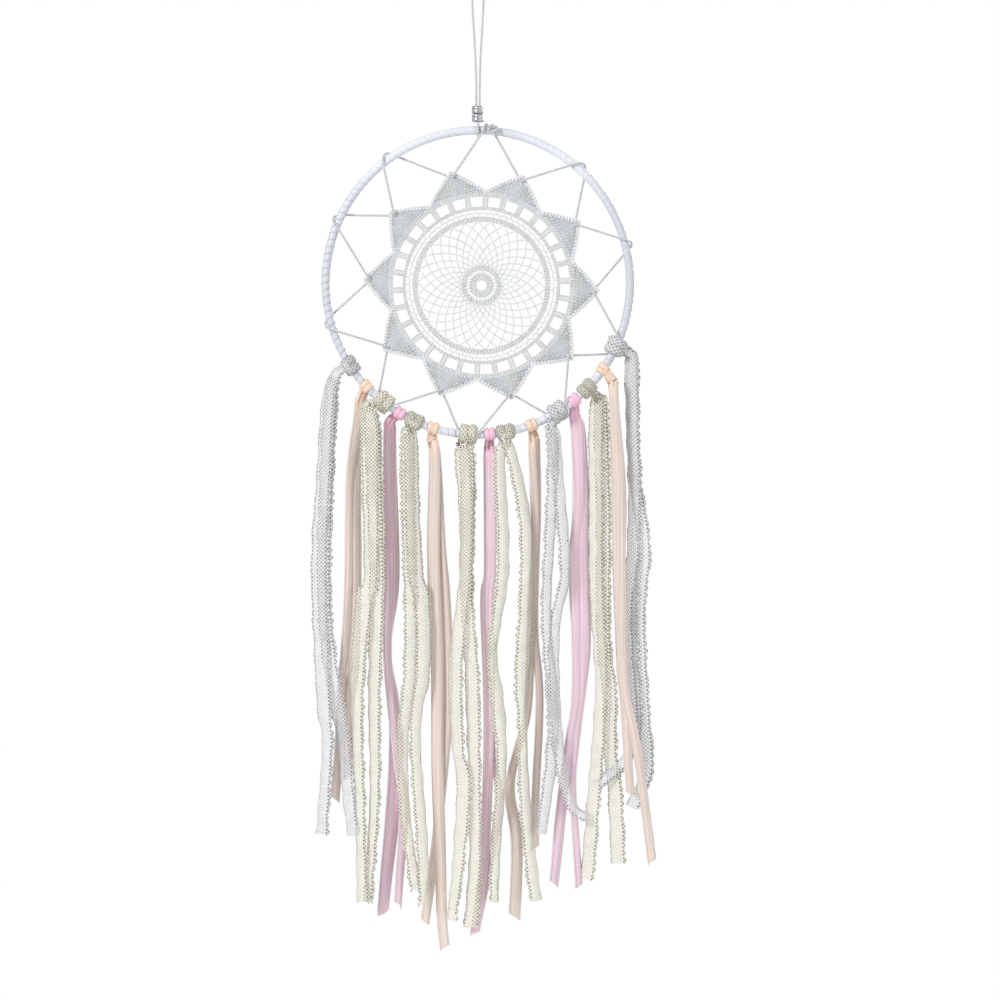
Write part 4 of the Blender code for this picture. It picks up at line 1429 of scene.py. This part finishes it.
# %% Pleated rolls
def roll_rings(line, outwards, width, thickness, closed, number, lobes=5, sides=20):
    """The rings of a gathered roll along a line. outwards says for each point where its thin side looks."""
    count = len(line)
    if closed:
        tangents = np.roll(line, -1, 0) - np.roll(line, 1, 0)
    else:
        tangents = np.gradient(line, axis=0)
    turns = np.arange(sides) * math.tau / sides
    rings = np.empty((count, sides, 3))
    for i in range(count):
        tangent = unit(tangents[i])
        side = unit(np.cross(tangent, outwards[i]))
        out = np.cross(side, tangent)
        sway = 0.5 * math.sin(math.tau * i / count + number)
        ripple = 1 + 0.16 * np.cos(lobes * turns + sway + number) * (0.5 + 0.5 * np.abs(np.sin(turns)))
        end = 1.0 if closed else math.sin(math.pi * (0.12 + 0.76 * i / (count - 1))) ** 0.4
        wide = np.outer(width / 2 * np.cos(turns), side)
        rings[i] = line[i] + (ripple * end)[:, None] * (wide + np.outer(thickness / 2 * np.sin(turns), out))
    return rings


def roll_mesh(rings, closed, lacy):
    """The closed surface of a roll. Its cloth coordinates keep a satin roll in the knot's colour, and give a
    lace roll's core a painted shade under the net.
    """
    count, sides = rings.shape[:2]
    faces = []
    for i in range(count if closed else count - 1):
        after = (i + 1) % count
        for k in range(sides):
            beside = (k + 1) % sides
            ends = [(i, k), (after, k), (after, beside), (i, beside)]
            faces.append([r * sides + s for r, s in ends])
    if not closed:
        faces.append(list(range(sides)))
        faces.append([(count - 1) * sides + k for k in range(sides)][::-1])
    if lacy:
        # Painted shade: a lace roll's core gets the darkened colour of the net's hole rims, as shade seen
        # through the net.
        uv = [(0.33 * NET_PITCH, 0.0)] * (count * sides)
    else:
        across = [0.0017 * math.cos(math.tau * k / sides) for k in range(sides)]
        uv = [(place, 0.00015 * i) for i in range(count) for place in across]
    return mesh_of(rings.reshape(-1, 3), faces, uv)


NET_SIZE = 1.07  # the net round a roll, against the roll


def lace_over(rings, closed, finish):
    """The net alone, laid round a roll: its surface is cut open and spread out for the lace tree to read."""
    middles = rings.mean(1, keepdims=True)
    rings = middles + NET_SIZE * (rings - middles)
    if closed:
        rings = np.concatenate([rings, rings[:1]])
    rings = np.concatenate([rings, rings[:, :1]], axis=1)
    count, sides = rings.shape[:2]
    long = float(np.linalg.norm(np.diff(rings, axis=0), axis=2).sum(0).mean())
    round_it = float(np.linalg.norm(np.diff(rings, axis=1), axis=2).sum(1).mean())
    across = [round_it * (k / (sides - 1) - 0.5) for k in range(sides)]
    uv = [(place, long * i / (count - 1)) for i in range(count) for place in across]
    faces = []
    for i in range(count - 1):
        for k in range(sides - 1):
            corner = i * sides + k
            faces.append((corner, corner + sides, corner + sides + 1, corner + 1))
    body = link("roll", mesh_of(rings.reshape(-1, 3), faces, uv))
    net = lace.grow(
        body, cell=cell_object, scallop=scallop_object, pitch=NET_PITCH, rows=int(long / NET_PITCH) + 1,
        columns=int(round_it / NET_PITCH) + 2, edge=1.0, scallop_pitch=SCALLOP_PITCH, scallops=1,
        finish=finish,
    )
    bpy.data.objects.remove(body)
    return thickened(net)


# Sizes of a knot: its two bands' distance from the middle, the rolls' width, and the bar's half length
LACE_KNOT = (0.0026, 0.0056, 0.0049)
SATIN_KNOT = (0.0016, 0.0034, 0.0031)


def knot_meshes(name, angle, front, lacy, number, finish):
    """The meshes of one knot, and the length of strip in it."""
    apart, width, half_bar = LACE_KNOT if lacy else SATIN_KNOT
    low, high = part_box(f"{name}_knot")
    bulk = (high.y - low.y) / 2 - TUBE_RADIUS
    spread = math.degrees(apart / RING_RADIUS)
    roll = np.arange(0, 360, 15)
    rolls = []
    for way in (-1, 1):
        slope = way * 0.12 * np.cos(np.radians(roll))
        places = angle + way * spread + slope
        line = on_hoop(places, roll, TUBE_RADIUS + bulk * 0.42)
        outwards = on_hoop(places, roll, 1.0) - on_hoop(places, roll, 0.0)
        rolls.append((roll_rings(line, outwards, width, bulk * 1.05, True, number + way), True))
    reach = math.degrees(half_bar / RING_RADIUS)
    share = np.linspace(-1, 1, 13)
    level = 128 if front > 0 else 232
    lift = TUBE_RADIUS + bulk * (0.72 - 0.5 * share**2)
    line = on_hoop(angle + reach * share, level, lift)
    outwards = on_hoop(angle + reach * share, level, 1.0) - on_hoop(angle + reach * share, level, 0.0)
    rolls.append((roll_rings(line, outwards, width, bulk * 0.95, False, number + 3), False))
    meshes = [roll_mesh(*roll, lacy) for roll in rolls]
    if lacy:
        meshes += [lace_over(*roll, finish) for roll in rolls]
    return meshes, sum(length_along(*roll) for roll in rolls)


def length_along(rings, closed):
    """How much strip a roll takes up, measured along its middle."""
    middle = rings.mean(1)
    if closed:
        middle = np.concatenate([middle, middle[:1]])
    return float(np.linalg.norm(np.diff(middle, axis=0), axis=1).sum())


# %% Make and hang the streamers
RUFFLE = 0.0007


def make_streamer(number, joint):
    name = joint["child"]
    kind = name.rsplit("_", 1)[0]
    lacy = kind.endswith("lace")
    finish = STREAMER_FINISHES[kind]
    width = LACE_WIDTH if lacy else SATIN_WIDTH
    pivot = np.array(joint["pos_m"])
    angle = knot_angle(name)
    knot = on_circle(HOOP_CENTRE, angle, RING_RADIUS)
    front = -math.copysign(1.0, pivot[1])
    meshes, total = knot_meshes(name, angle, front, lacy, number, finish)
    for tail, stations in enumerate(COURSES[name]):
        depth = -front * LAYER_DEPTH + (1 if tail else -1) * TAIL_APART
        course = strip_course(knot, pivot, stations, depth)
        slant = 0.0 if lacy else (0.55 if (number + tail) % 2 else -0.5)
        strip, length = strip_mesh(course, width, number, slant, RUFFLE if lacy else 0.0)
        total += length
        meshes.append(thickened(lace_mesh(strip, length, finish) if lacy else strip))
    streamer = joined(f"{name}_streamer", meshes, finish)
    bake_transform(streamer)
    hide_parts(f"{name}_knot", f"{name}_tails")
    return count_triangles(streamer)


swings = [row for row in frame["joints"] if row["name"].endswith("_swing") and row["child"] in COURSES]
for number, row in enumerate(swings):
    print(row["child"], make_streamer(number, row), "triangles")
bpy.data.objects.remove(cell_object)
bpy.data.objects.remove(scallop_object)

# %% Floor
def make_floor():
    bpy.ops.mesh.primitive_circle_add(vertices=96, radius=0.6, fill_type="NGON", location=(0, 0, -0.75))
    floor = bpy.context.object
    floor.name = "floor"
    pale = Finish("pale_floor", 0.9)
    pale.colour(pale.ramp(pale.noise(pale.place, 6), (0.4, (0.80, 0.80, 0.80)), (0.6, (0.84, 0.84, 0.84))))
    floor.data.materials.append(pale.material)


make_floor()
